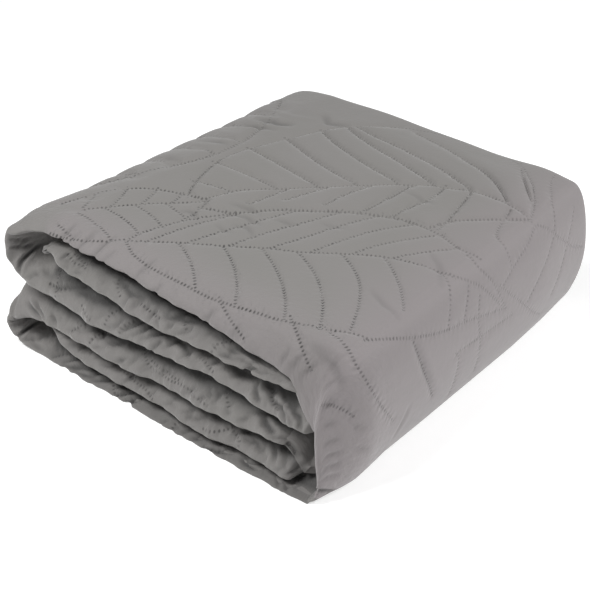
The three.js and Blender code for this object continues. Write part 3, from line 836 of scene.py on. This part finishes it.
# The same for the top and the side: the path is in quilt and flat places.
TOP_CREASES = [
    ([(-55, -65), (-35, -58), (-22, -60)], 2.6, 1.0), ([(-48, -77), (-28, -72), (-8, -75)], 2.6, 1.1),
    ([(-28, -90), (-15, -87), (-2, -92)], 2.6, 1.0), ([(-88, -105), (-78, -97), (-65, -105)], 2.6, 1.1),
    ([(-40, -102), (-20, -104)], 2.4, 0.8), ([(-2, -58), (18, -52)], 2.6, 0.9),
    ([(38, -35), (62, -28)], 2.6, 0.7), ([(68, 65), (85, 66), (100, 64)], 2.6, 0.8),
    ([(-168, 108), (-150, 105), (-135, 112)], 4.0, 2.2),
    ([(-188, 130), (-150, 127), (-125, 136)], 4.0, -1.8), ([(-188, 158), (-165, 160)], 4.0, -1.2),
    ([(-185, 85), (-160, 87), (-140, 92)], 3.6, 1.4), ([(-186, 57), (-165, 55)], 3.6, -1.4),
    ([(-187, 30), (-168, 27), (-155, 30)], 3.6, 1.5), ([(-186, 8), (-165, 5)], 3.6, -1.3),
    ([(-185, -25), (-170, -28)], 3.6, 1.3), ([(-120, 152), (-105, 140), (-85, 150)], 3.6, 1.5),
    ([(-147, -216), (-145, -190)], 2.4, 1.1), ([(-137, -214), (-133, -196)], 2.2, 0.8),
    ([(-121, -216), (-119, -186)], 2.4, 1.2), ([(-101, -216), (-99, -182)], 2.4, 1.2),
    ([(-88, -214), (-84, -196)], 2.2, 0.8), ([(-46, -212), (-42, -186)], 2.4, 1.0),
    ([(-20, -216), (-17, -204)], 2.2, 0.8), ([(44, -218), (47, -202)], 2.4, 1.1),
    ([(76, -218), (79, -206)], 2.2, 0.8), ([(133, -220), (137, -204)], 2.4, 1.2),
    ([(146, -220), (152, -203)], 2.4, 1.2), ([(160, -219), (172, -200)], 2.2, 0.9),
    ([(198, -218), (206, -202)], 2.2, 0.8), ([(222, -219), (230, -204)], 2.2, 0.8),
    ([(243, -219), (250, -205)], 2.2, 0.8), ([(262, -219), (268, -203)], 2.2, 0.9),
    ([(277, -113), (292, -119), (305, -127)], 2.4, 0.6),
    ([(215, -105), (252, -90), (288, -72)], 3.0, 0.9),
    ([(312, -224), (322, -213), (331, -200)], 2.2, 3.0), ([(275, -219), (282, -202)], 2.2, 0.9),
    ([(287, -219), (294, -202)], 2.2, 0.9), ([(299, -219), (306, -203)], 2.2, 0.9),
    ([(159, -192), (194, -199), (222, -197)], 4.0, 1.0),
    ([(169, -183), (201, -189), (227, -189), (256, -181)], 4.0, -1.0),
    ([(258, -188), (266, -178)], 2.2, 0.9), ([(282, -186), (290, -172)], 2.2, 0.9),
    ([(150, -8), (172, -22), (190, -45)], 3.0, 0.7), ([(148, -97), (170, -108), (190, -112)], 2.8, 0.8),
]

# %% Small creases between them
SMALL_CREASES = dict(
    plies=("upper_nose", "middle_top", "middle_low", "lower_nose", "bottom"),
    x=(-155, 165, 8), shift=(-6, 6), low=(0, 9), length=(6, 20), angle=(20, 80), bend=(-0.5, 0.5),
    width=(1.3, 2.4), depth=(0.4, 1.7), signs=[-0.5, 1, 1],
)
chance = np.random.default_rng(7)


def drawn(key):
    """One of the sizes by chance, within its range."""
    return chance.uniform(*SMALL_CREASES[key])


def on_route(name, path):
    return np.array([spot(name, *point) for point in path])


crease_rows = []
for name, creases in CREASES.items():
    for path, width, depth in creases:
        crease_rows.append((on_route(name, path), width, depth))
for name in SMALL_CREASES["plies"]:
    for x in np.arange(*SMALL_CREASES["x"]):
        start = np.array([x + drawn("shift"), drawn("low")])
        angle = math.radians(drawn("angle"))
        half = drawn("length") / 2
        path = [start, start + half * np.array([math.cos(angle), math.sin(angle)])]
        angle += drawn("bend")
        path.append(path[-1] + half * np.array([math.cos(angle), math.sin(angle)]))
        width, depth = drawn("width"), drawn("depth")
        depth *= chance.choice(SMALL_CREASES["signs"])
        crease_rows.append((on_route(name, path), width, depth))
print("creases:", len(crease_rows), "on the lips and rolls,", len(TOP_CREASES), "on the top")

# %% Depth of the creases
# A crease has a shoulder on both sides, this high and so many widths out and wide, and tapered ends.
SHOULDER = 0.18
SHOULDER_OUT = 2.3
SHOULDER_WIDTH = 1.2
TAPER = 0.25
CREASE_WIDTH = 1.1
CREASE_DEPTH = 1.9
RIDGE_SHARE = 0.35
top_rows = [(np.array(path, float), width, depth) for path, width, depth in TOP_CREASES]


def crease_depth(place, walk, rows):
    """How far all creases together press the cloth in; each has raised shoulders."""
    order = np.argsort(place)
    sorted_place, sorted_walk = place[order], walk[order]
    total = np.zeros(len(place))
    for path, width, deep in rows:
        width, deep = width * CREASE_WIDTH, deep * CREASE_DEPTH * (RIDGE_SHARE if deep < 0 else 1)
        margin = 5 * width
        low, high = path[:, 0].min() - margin, path[:, 0].max() + margin
        first, last = np.searchsorted(sorted_place, [low, high])
        points = np.column_stack([sorted_place[first:last], sorted_walk[first:last]])
        close = np.abs(points[:, 1] - path[:, 1].mean()) < np.ptp(path[:, 1]) + margin
        points = points[close]
        gap, share = np.full(len(points), FAR), np.zeros(len(points))
        lengths = np.linalg.norm(np.diff(path, axis=0), axis=1)
        walked = 0.0
        for k, length in enumerate(lengths):
            run = path[k + 1] - path[k]
            t = np.clip((points - path[k]) @ run / (run @ run), 0, 1)
            distance = np.linalg.norm(points - path[k] - t[:, None] * run, axis=1)
            nearer = distance < gap
            gap[nearer] = distance[nearer]
            share[nearer] = (walked + t[nearer] * length) / lengths.sum()
            walked += length
        taper = np.sin(math.pi * (TAPER / 2 + (1 - TAPER) * share))
        trough = np.exp(-((gap / width) ** 2))
        shoulder = np.exp(-(((gap - SHOULDER_OUT * width) / (SHOULDER_WIDTH * width)) ** 2))
        total[np.arange(first, last)[close]] += deep * taper * (trough - SHOULDER * shoulder)
    result = np.zeros(len(place))
    result[order] = total
    return result


# %% Slow unevenness of the lips
# Height, length along, length up and phase of each set of soft dents; the first set wanders.
DENTS = [(1, 7.3, 9, 0), (0.8, 11.9, -6.5, 2), (0.6, 4.9, 5, 1)]
DENT_WANDER = (0.9, 23)
DENT_START = (0, 8)
DENT_END = (30, 50)


def unevenness(place, walk):
    wander = [DENT_WANDER[0] * np.sin(place / DENT_WANDER[1]), 0, 0]
    field = sum(
        height * np.sin(place / along + wander[k] + walk / up + phase)
        for k, (height, along, up, phase) in enumerate(DENTS)
    )
    return field * smooth(np.abs(walk), *DENT_START) * (1 - smooth(np.abs(walk), *DENT_END))


# %% All relief at a point
LIP_PUFF = 0.3
RIM_FADE = (4, 26)
EDGE_FADE = 45
EDGE_SHARE = 0.65
BACK_SHARE = 0.05
BACK_FADE = 60
UNEVEN = 0.35
DEEPEST = 3


def relief(place, across, walk, which, points, distance):
    """Height above the fold and the depth of the creases; no crease reaches the inner skin."""
    hidden = mix(LIP_PUFF, HIDDEN_SHARE, smooth(np.abs(across), *HIDDEN_FADE))
    share = np.where(which == 0, mix(LIP_PUFF, 1, smooth(across, *RIM_FADE)), hidden)
    quilt = points[:, 0]
    edges = mix(EDGE_SHARE, 1, smooth(quilt, LEFT_END, LEFT_END + EDGE_FADE))
    share = share * np.where(which == 0, edges, 1)
    share = share * mix(BACK_SHARE, 1, smooth(DEPTH - np.abs(across), 0, BACK_FADE))
    hem = smooth(DEPTH - np.abs(across), 0, HEM_ROUND)
    height = share * puff_height(which, points, distance)
    on_top = which == 0
    creased = np.zeros(len(place))
    creased[on_top] = crease_depth(*points[on_top].T, top_rows)
    creased[~on_top] = crease_depth(place[~on_top], walk[~on_top], crease_rows)
    bumpy = UNEVEN * (which == 1) * unevenness(place, walk)
    pressed = DEEPEST * np.tanh(creased / DEEPEST)
    return hem * (height - pressed + bumpy), creased


# %% [markdown]
# ## The sheet
#
# The points lie in rows across the cloth at close stations along it. Rows are fine where the cloth
# shows and wide apart inside the parcel. A point beside a welded line moves on to the line, so the
# line stays crisp. The second skin lies one cloth thickness inside the first, and both meet in the
# hems at the back and at the two ends of the route, which closes the sheet. A Solidify modifier
# could thicken a single skin, but the inner skin is hidden and needs far fewer points.

# %% Rows and stations
STEP = 3.0
LIP_STEP = 2.5
ROLL_STEP = 1.7
HIDDEN_STEP = 8
CLOTH_THICKNESS = 4
FINE_QUILT = (-172, 318)
MEDIUM_QUILT = (-330, 0)
FACE_SLOPE = 0.4
LIP_FINE = [
    0.12, 0.4, 0.9, 1.6, 2.5, 3.6, 5, 6.6, 8.4, 10.4, 12.5, 14.7, 17, 19.4, 22, 25, 28.5, 33, 38.5, 44,
]
LIP_SPARSE = [0.3, 1, 2.2, 3.8, 6, 10, 18, 30, 44]
HEM_ROWS = [24, 14, 8, 4, 1.5, 0]
HEMS = [DEPTH - row for row in HEM_ROWS]
MIDDLES = dict(
    coarse=[60, 90, 150, 230, 310, 370],
    medium=list(np.arange(50, HEMS[0] - 4, 7)),
    fine=list(np.arange(44 + STEP, HEMS[0] - 2, STEP)),
)
INNER_ROWS = [0, 8, 40, 200, DEPTH]
HIDDEN = ("lower_back", "upper_back")


def rows_across(kind, good_lip, back_lip):
    good = [0] + good_lip + MIDDLES[kind] + HEMS
    back = back_lip + MIDDLES["coarse"] + HEMS
    return np.array([-row for row in reversed(back)] + good)


inner_rows = np.array([-row for row in reversed(INNER_ROWS[1:])] + INNER_ROWS)
places, section_of = [], []
for i, name in enumerate(names):
    first, last = route["place"][starts[i]], route["place"][ends[i]]
    hidden = name in HIDDEN or i == names.index("lower_nose") + 1
    step = HIDDEN_STEP if hidden else STEP if i in (top_index, top_index + 1) else LIP_STEP
    step = ROLL_STEP if name in ("upper_roll", "lower_roll") else step
    count = max(3, round((last - first) / step))
    places += list(np.linspace(first, last, count))
    section_of += [i] * count
places, section_of = np.array(places), np.array(section_of)
quilt_at = np.interp(places, route["place"], route["quilt"])
slope_at = np.interp(places, route["place"], route["slope"])
is_fine = (quilt_at > FINE_QUILT[0]) & (quilt_at < FINE_QUILT[1])
is_medium = (quilt_at > MEDIUM_QUILT[0]) & (quilt_at < MEDIUM_QUILT[1])
is_medium |= section_of == names.index("lower_roll")
kinds = np.where(is_fine, "fine", np.where(is_medium, "medium", "coarse"))
row_lists = []
for kind, slope, i in zip(kinds, slope_at, section_of):
    open_face = names[i] not in HIDDEN
    good_lip = LIP_FINE if open_face and slope > -FACE_SLOPE else LIP_SPARSE
    back_lip = LIP_FINE if open_face and slope < FACE_SLOPE else LIP_SPARSE
    row_lists.append(rows_across(kind, good_lip, back_lip))
counts = np.array([len(rows) for rows in row_lists])
outer_start = np.concatenate([[0], np.cumsum(counts)])
print("stations:", len(places), "points of the outer skin:", outer_start[-1])

# %% Points of the outer skin
SNAP = 0.36
station_of = np.repeat(np.arange(len(places)), counts)
place = places[station_of].astype(float)
across = np.concatenate(row_lists).astype(float)
quilt = quilt_at[station_of]
walk, flat = np.empty(len(place)), np.empty(len(place))
base = cloth_point(place, across)
for i in range(len(places)):
    mine = slice(outer_start[i], outer_start[i + 1])
    steps_across = np.linalg.norm(np.diff(base[mine], axis=0, prepend=base[mine][:1]), axis=1)
    walked = np.cumsum(steps_across)
    walk[mine] = walked - np.interp(0, row_lists[i], walked)
    flat[mine] = walked + DEPTH / 2 - np.interp(DEPTH / 2, row_lists[i], walked)
distance, _, move, which, _ = nearest_weld(place, walk, quilt, flat)
can_move = (kinds[station_of] != "coarse") & (which != 1) & (across > LIP_FINE[-4]) & (across < HEMS[0])
can_move &= (station_of > 0) & (station_of < len(places) - 1)
welded = can_move & (distance < SNAP * STEP)
for values, axis in ((place, 0), (quilt, 0), (across, 1), (walk, 1), (flat, 1)):
    values[welded] += move[welded, axis]
distance[welded] = 0
_, pattern_points = line_set(place, walk, quilt, flat)
height, creased = relief(place, across, walk, which, pattern_points, distance)
base = cloth_point(place, across)
normal = cloth_normal(place, across)
outer_points = base + normal * height[:, None]
print("points on welded lines:", int(welded.sum()))
print("relief:", round(height.min(), 1), "to", round(height.max(), 1), "mm")

# %% Points of the inner skin
inner_place = np.repeat(places, len(inner_rows))
inner_across = np.tile(inner_rows, len(places)).astype(float)
inner_points = cloth_point(inner_place, inner_across)
inner_points = inner_points - cloth_normal(inner_place, inner_across) * CLOTH_THICKNESS
inner_start = outer_start[-1] + np.arange(len(places)) * len(inner_rows)


# %% Triangles between neighbouring rows of points
def stitch(first, first_across, second, second_across, on_line=None):
    """Triangles between two rows, walking along both; an edge stays on a welded line if it can."""
    i = j = 0
    made = []
    last_i, last_j = len(first) - 1, len(second) - 1
    while i < last_i or j < last_j:
        next_i = first_across[i + 1] if i < last_i else math.inf
        next_j = second_across[j + 1] if j < last_j else math.inf
        step_first = next_i <= next_j
        if on_line is not None and i < last_i and j < last_j and abs(next_i - next_j) < STEP:
            if on_line[first[i + 1]] and on_line[second[j]]:
                step_first = True
            elif on_line[first[i]] and on_line[second[j + 1]]:
                step_first = False
        if step_first:
            made.append((first[i], second[j], first[i + 1]))
            i += 1
        else:
            made.append((first[i], second[j], second[j + 1]))
            j += 1
    return made


outer_rows = [range(outer_start[i], outer_start[i + 1]) for i in range(len(places))]
inner_ids = [range(inner_start[i], inner_start[i] + len(inner_rows)) for i in range(len(places))]
triangles = []
for i in range(len(places) - 1):
    triangles += stitch(outer_rows[i], row_lists[i], outer_rows[i + 1], row_lists[i + 1], welded)
outer_count = len(triangles)
for i in range(len(places) - 1):
    strip = stitch(inner_ids[i], inner_rows, inner_ids[i + 1], inner_rows)
    triangles += [(a, c, b) for a, b, c in strip]
    for end, flip in ((0, False), (-1, True)):
        a, b = outer_rows[i][end], outer_rows[i + 1][end]
        c, d = inner_ids[i][end], inner_ids[i + 1][end]
        made = [(a, d, b), (a, c, d)]
        triangles += [t[::-1] for t in made] if flip else made
triangles += [t[::-1] for t in stitch(outer_rows[0], row_lists[0], inner_ids[0], inner_rows)]
triangles += stitch(outer_rows[-1], row_lists[-1], inner_ids[-1], inner_rows)
print("triangles:", len(triangles), "of them outside:", outer_count)

# %% Make the mesh
points = np.vstack([outer_points, inner_points])
low, high = base.min(axis=0), base.max(axis=0)
shift = np.array([-(low[0] + high[0]) / 2, -(low[1] + high[1]) / 2, 0])
points = (points + shift) * METRE
points[:, 2] = np.maximum(points[:, 2], 0)
mesh = bpy.data.meshes.new("bedspread_cloth")
mesh.from_pydata(points.tolist(), [], triangles)
mesh.validate()
corners = points[np.array(triangles)]
volume = np.einsum("ij,ij->i", corners[:, 0], np.cross(corners[:, 1], corners[:, 2])).sum() / 6
print("volume:", round(volume * 1000, 2), "litres")
if volume < 0:
    mesh.flip_normals()
mesh.shade_smooth()
cloth = bpy.data.objects.new("bedspread_cloth", mesh)
bpy.context.scene.collection.objects.link(cloth)

# %% The cloth's own maps
PAST_END = 2
flat_uv = mesh.uv_layers.new(name="cloth")
weld_uv = mesh.uv_layers.new(name="weld")
loops = np.zeros(len(mesh.loops), int)
mesh.loops.foreach_get("vertex_index", loops)
outer = dict(place=place, walk=walk, quilt=quilt, flat=flat)
inner_quilt = np.repeat(quilt_at, len(inner_rows))
inner = dict(place=inner_place, walk=inner_across, quilt=inner_quilt, flat=inner_across)
corner = loops.reshape(-1, 3)
at_corner = {key: np.concatenate([outer[key], inner[key]])[corner] for key in outer}
centre = {key: values.mean(axis=1) for key, values in at_corner.items()}
_, piece_index, _, face_set, _ = nearest_weld(**centre)
pieces_of_face = np.stack([pieces[np.minimum(piece_index, len(pieces) - 1)] for pieces in LINE_SETS])
pieces_of_face = pieces_of_face[face_set, np.arange(len(corner))]
run = pieces_of_face[:, 2:4] - pieces_of_face[:, 0:2]
run /= np.linalg.norm(run, axis=1, keepdims=True)
on_lip = (face_set == 1)[:, None]
pattern = np.stack([
    np.where(on_lip, at_corner["place"], at_corner["quilt"]),
    np.where(on_lip, at_corner["walk"], at_corner["flat"] - np.where(face_set == 0, DEPTH / 2, 0)[:, None]),
], axis=-1)
offset = pattern - pieces_of_face[:, None, 0:2]
along_piece = (offset * run[:, None]).sum(-1)
along_line = along_piece + pieces_of_face[:, 4][:, None]
beside_line = offset[..., 0] * -run[:, 1][:, None] + offset[..., 1] * run[:, 0][:, None]
piece_length = np.linalg.norm(pieces_of_face[:, 2:4] - pieces_of_face[:, 0:2], axis=1)[:, None]
past_end = np.maximum(-along_piece, along_piece - piece_length)
too_far = (past_end.min(axis=1) > PAST_END) | (corner >= outer_start[-1]).any(axis=1)
beside_line[too_far] = FAR
weld_uv.data.foreach_set("uv", (np.stack([along_line, beside_line], axis=-1) * METRE).ravel())
flat_uv.data.foreach_set(
    "uv", (np.stack([at_corner["place"], at_corner["walk"]], axis=-1) * METRE).ravel()
)

# %% Strength, painted shade and painted sheen at the points
# The points are darkest near the front edge of the top and fainter at the back and on the side.
TOP_STRENGTH = dict(flat=(60, 280), share=0.45)
SIDE_STRENGTH = dict(quilt=(150, 215), share=0.6)
LIP_STRENGTH = 0.7
# The cloth is crumpled most on the lips and least on the open top.
CRUMPLED = dict(flat=(25, 110), front=0.9, back=0.25)
# Painted shade: the colour darkens in deep creases, in the gaps between the plies
# and on the lip of the bottom ply.
CREASE_SHADE_DEPTH = 6
GAP_SHADE = 1.1
GAP_UP = (7, 26)
BOTTOM_SHADE = 0.3
# Painted sheen: a lighter mauve grey in the colour, on the wrap and along the rim.
SHEEN_QUILT = (90, 215)
SHEEN_RIM = 0.6
SHEEN_FLAT = (20, 90)


def paint(name, values, inside=0.0):
    """A value at every point of the outer skin, and one value for the inner skin."""
    layer = mesh.attributes.new(name, "FLOAT", "POINT")
    layer.data.foreach_set("value", np.concatenate([values, np.full(len(inner_place), inside)]))


on_top = which == 0
strength = mix(1, TOP_STRENGTH["share"], smooth(flat, *TOP_STRENGTH["flat"]))
strength = strength * mix(1, SIDE_STRENGTH["share"], smooth(quilt, *SIDE_STRENGTH["quilt"]))
paint("weld_strength", np.where(on_top, strength, LIP_STRENGTH))
crumpled = mix(CRUMPLED["front"], CRUMPLED["back"], smooth(flat, *CRUMPLED["flat"]))
paint("crumpled", np.where(on_top, crumpled, 1), inside=1)
section = section_of[station_of]
is_roll = np.isin(section, [names.index("upper_roll"), names.index("lower_roll")])
# Painted shade: darker higher up the open face of each ply in a gap, but not on the top or rolls.
up = walk * slope_at[station_of]
shaded = np.where(on_top | is_roll, 0, GAP_SHADE * smooth(up, *GAP_UP))
# Painted shade: the lip of the bottom ply is darker still.
shaded += BOTTOM_SHADE * ((section == names.index("bottom")) & (which == 1))
# Painted shade: deep creases darken the colour as well.
paint("painted_shade", np.clip(np.clip(creased / CREASE_SHADE_DEPTH, 0, 1) + shaded, 0, 1))
# Painted sheen: mauve on the wrap and along the rim of the top.
on_wrap = smooth(quilt, *SHEEN_QUILT)
paint("painted_sheen", np.where(on_top, np.maximum(on_wrap, SHEEN_RIM * (1 - smooth(flat, *SHEEN_FLAT))), 0))
mesh.update()

# %% [markdown]
# ## The finish
#
# The cloth is brushed microfibre in a warm grey: nearly matt, with a faint sheen and a very fine
# weave. Painted shade makes its colour darker in deep creases and gaps, and a painted sheen makes it a
# lighter mauve on the wrap and along the rim, as set above. Each welded point is a small dark dent. A
# picture of the cloth could be laid on instead, but worked-out patterns stay sharp and need no file.
# The weave follows the cloth's own map. The points follow a second map, whose first value runs along
# the nearest welded line and whose second value is the distance beside it.

# %% Helpers for the material
material = bpy.data.materials.new("quilted_microfibre")
material.use_nodes = True
tree = material.node_tree
shader = tree.nodes["Principled BSDF"]


def node(kind, inputs=None, **settings):
    """A new node of the cloth's material, with its inputs set or linked."""
    made = tree.nodes.new("ShaderNode" + kind)
    for key, value in settings.items():
        setattr(made, key, value)
    for key, value in (inputs or {}).items():
        if isinstance(value, bpy.types.NodeSocket):
            tree.links.new(value, made.inputs[key])
        else:
            made.inputs[key].default_value = value
    return made


def calculate(operation, a, b=0.0):
    return node("Math", {0: a, 1: b}, operation=operation).outputs[0]


def times(a, b):
    return calculate("MULTIPLY", a, b)


def plus(a, b):
    return calculate("ADD", a, b)


def painted(name):
    return node("Attribute", attribute_name=name).outputs["Fac"]


def noise(where, scale, detail, roughness=0.5):
    sizes = {"Vector": where, "Scale": scale, "Detail": detail, "Roughness": roughness}
    return node("TexNoise", sizes).outputs["Fac"]


def blend(share, first, second):
    return node("Mix", {"Factor": share, 6: first, 7: second}, data_type="RGBA").outputs[2]


def ramp(value, low, high, start, end, kind="LINEAR"):
    """The value between low and high, moved to lie between start and end."""
    sizes = {"Value": value, "From Min": low, "From Max": high, "To Min": start, "To Max": end}
    return node("MapRange", sizes, interpolation_type=kind).outputs[0]


# %% The welded points
# One point in each pitch along a line, a little longer across the line than along it.
WELD_PITCH = 0.0042
WELD_RADIUS = 0.0013
WELD_EDGE = (0.55, 1.35)
WELD_SHAPE = (1.25, 0.78)
cloth_map = node("UVMap", uv_map="cloth").outputs[0]
weld_map = node("UVMap", uv_map="weld").outputs[0]
along_weld, beside_weld = node("SeparateXYZ", {0: weld_map}).outputs[:2]
phase = calculate("FRACT", calculate("DIVIDE", along_weld, WELD_PITCH))
along = times(calculate("SUBTRACT", phase, 0.5), WELD_PITCH * WELD_SHAPE[0])
beside = times(beside_weld, WELD_SHAPE[1])
from_point = calculate("SQRT", plus(times(along, along), times(beside, beside)))
edge = [WELD_RADIUS * share for share in WELD_EDGE]
dot = ramp(from_point, *edge, 1.0, 0.0, "SMOOTHSTEP")

# %% The cloth's colour, with painted shade and painted sheen
WARM_GREY = (0.165, 0.161, 0.151, 1)
COOL_GREY = (0.186, 0.176, 0.173, 1)
# Painted sheen: a lighter mauve grey.
SHEEN_MAUVE_GREY = (0.202, 0.185, 0.187, 1)
# Painted shade: a near-black grey that the painted values mix in.
SHADE_GREY = (0.05, 0.049, 0.048, 1)
WELD_GREY = (0.045, 0.043, 0.042, 1)
SHADE_SHARE = 0.85
GLOSS = {"Roughness": 0.78, "Sheen Weight": 0.25, "Sheen Roughness": 0.5, "Specular IOR Level": 0.3}
PATCHES = dict(scale=9.0, detail=3.0, roughness=0.6)
WORN = dict(scale=60.0, detail=2.0)
WORN_RANGE = (0.3, 0.62, 0.35, 1.0)
tint = blend(noise(cloth_map, **PATCHES), WARM_GREY, COOL_GREY)
# Painted sheen: the colour turns a lighter mauve grey on the wrap and along the rim.
tint = blend(painted("painted_sheen"), tint, SHEEN_MAUVE_GREY)
# Painted shade: darker colour in creases, gaps and on the bottom lip.
tint = blend(times(painted("painted_shade"), SHADE_SHARE), tint, SHADE_GREY)
visible = times(ramp(noise(cloth_map, **WORN), *WORN_RANGE), painted("weld_strength"))
tree.links.new(blend(times(dot, visible), tint, WELD_GREY), shader.inputs["Base Color"])
for socket, value in GLOSS.items():
    shader.inputs[socket].default_value = value

# %% Weave, crumples, dents and puckers
WEAVE_SCALE = 1400
WEAVE_HEIGHT = 0.00006
CRUMPLES = dict(scale=70.0, detail=4.0, roughness=0.6)
CRUMPLE_HEIGHT = 0.004
DENT_HEIGHT = -0.0006
PUCKER_WAVES = 2 * math.pi / 0.0075
PUCKER_WANDER = 9.0
PUCKER_REACH = 0.011
PUCKER_HEIGHT = 0.0007
BUMP_STRENGTH = 0.6
weave_map = node("Mapping", {"Vector": cloth_map, "Scale": (WEAVE_SCALE,) * 3}).outputs[0]
fine = times(noise(weave_map, 1.0, 2.0), WEAVE_HEIGHT)
crumple = noise(cloth_map, **CRUMPLES)
amount = painted("crumpled")
wide = times(crumple, times(amount, CRUMPLE_HEIGHT))
wave = calculate("SINE", plus(times(along_weld, PUCKER_WAVES), times(crumple, PUCKER_WANDER)))
near = ramp(calculate("ABSOLUTE", beside_weld), 0.0, PUCKER_REACH, 1.0, 0.0, "SMOOTHSTEP")
pucker = times(times(wave, near), times(amount, PUCKER_HEIGHT))
total = plus(plus(fine, wide), plus(times(dot, DENT_HEIGHT), pucker))
bump = node("Bump", {"Height": total, "Distance": 1.0, "Strength": BUMP_STRENGTH})
tree.links.new(bump.outputs[0], shader.inputs["Normal"])
mesh.materials.append(material)
print("nodes of the finish:", len(tree.nodes))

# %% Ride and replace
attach(cloth, "root")
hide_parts("bedspread")

# %% [markdown]
# ## Floor, light and camera
#
# The photo has a white floor without an edge and soft light from all around. A wide plane that glows
# faintly gives that floor. One large lamp stands to the right, for the wrap, and one in front, for the
# lips, and the camera stands where the photo was taken from.

# %% Floor
bpy.ops.mesh.primitive_plane_add(size=12, location=(0, 0, 0))
floor = bpy.context.object
floor.name = "floor"
floor_material = bpy.data.materials.new("pale_floor")
floor_material.use_nodes = True
floor_shader = floor_material.node_tree.nodes["Principled BSDF"]
FLOOR_FINISH = {
    "Base Color": (0.78, 0.78, 0.78, 1), "Roughness": 0.9, "Specular IOR Level": 0.1,
    "Emission Color": (1, 1, 1, 1), "Emission Strength": 0.43,
}
for socket, value in FLOOR_FINISH.items():
    floor_shader.inputs[socket].default_value = value
floor.data.materials.append(floor_material)

# %% Light
world = bpy.data.worlds.new("studio")
bpy.context.scene.world = world
world.use_nodes = True
sky = world.node_tree.nodes["Background"]
sky.inputs["Color"].default_value = (1, 1, 1, 1)
sky.inputs["Strength"].default_value = 0.18


def area_light(name, place, target, size, power):
    bpy.ops.object.light_add(type="AREA", location=place)
    light = bpy.context.object
    light.name = name
    light.data.size = size
    light.data.energy = power
    direction = np.array(target) - np.array(place)
    x, y, z = direction / np.linalg.norm(direction)
    light.rotation_euler = (math.acos(-z), 0, math.atan2(y, x) - math.pi / 2)
    return light


PARCEL_MIDDLE = (0, 0, 0.05)
area_light("right_light", (1.6, 0.65, 1.3), PARCEL_MIDDLE, size=0.9, power=33)
area_light("front_light", (-0.4, -1.0, 1.6), PARCEL_MIDDLE, size=0.8, power=33)
bpy.context.scene.view_settings.view_transform = "Standard"

# %% Camera
AZIMUTH = math.radians(41.217)
ELEVATION = math.radians(31.372)
TARGET = (-0.0546, 0.0368, 0)
DISTANCE = 1.7804
SENSOR = 36
LENS = 103.55
back = (
    math.sin(AZIMUTH) * math.cos(ELEVATION),
    -math.cos(AZIMUTH) * math.cos(ELEVATION),
    math.sin(ELEVATION),
)
bpy.ops.object.camera_add(
    location=[TARGET[k] + back[k] * DISTANCE for k in range(3)],
    rotation=(math.pi / 2 - ELEVATION, 0, AZIMUTH),
)
camera = bpy.context.object
camera.name = "photo_camera"
camera.data.sensor_width = SENSOR
camera.data.lens = LENS
bpy.context.scene.camera = camera
print("camera at", [round(v, 3) for v in camera.location])
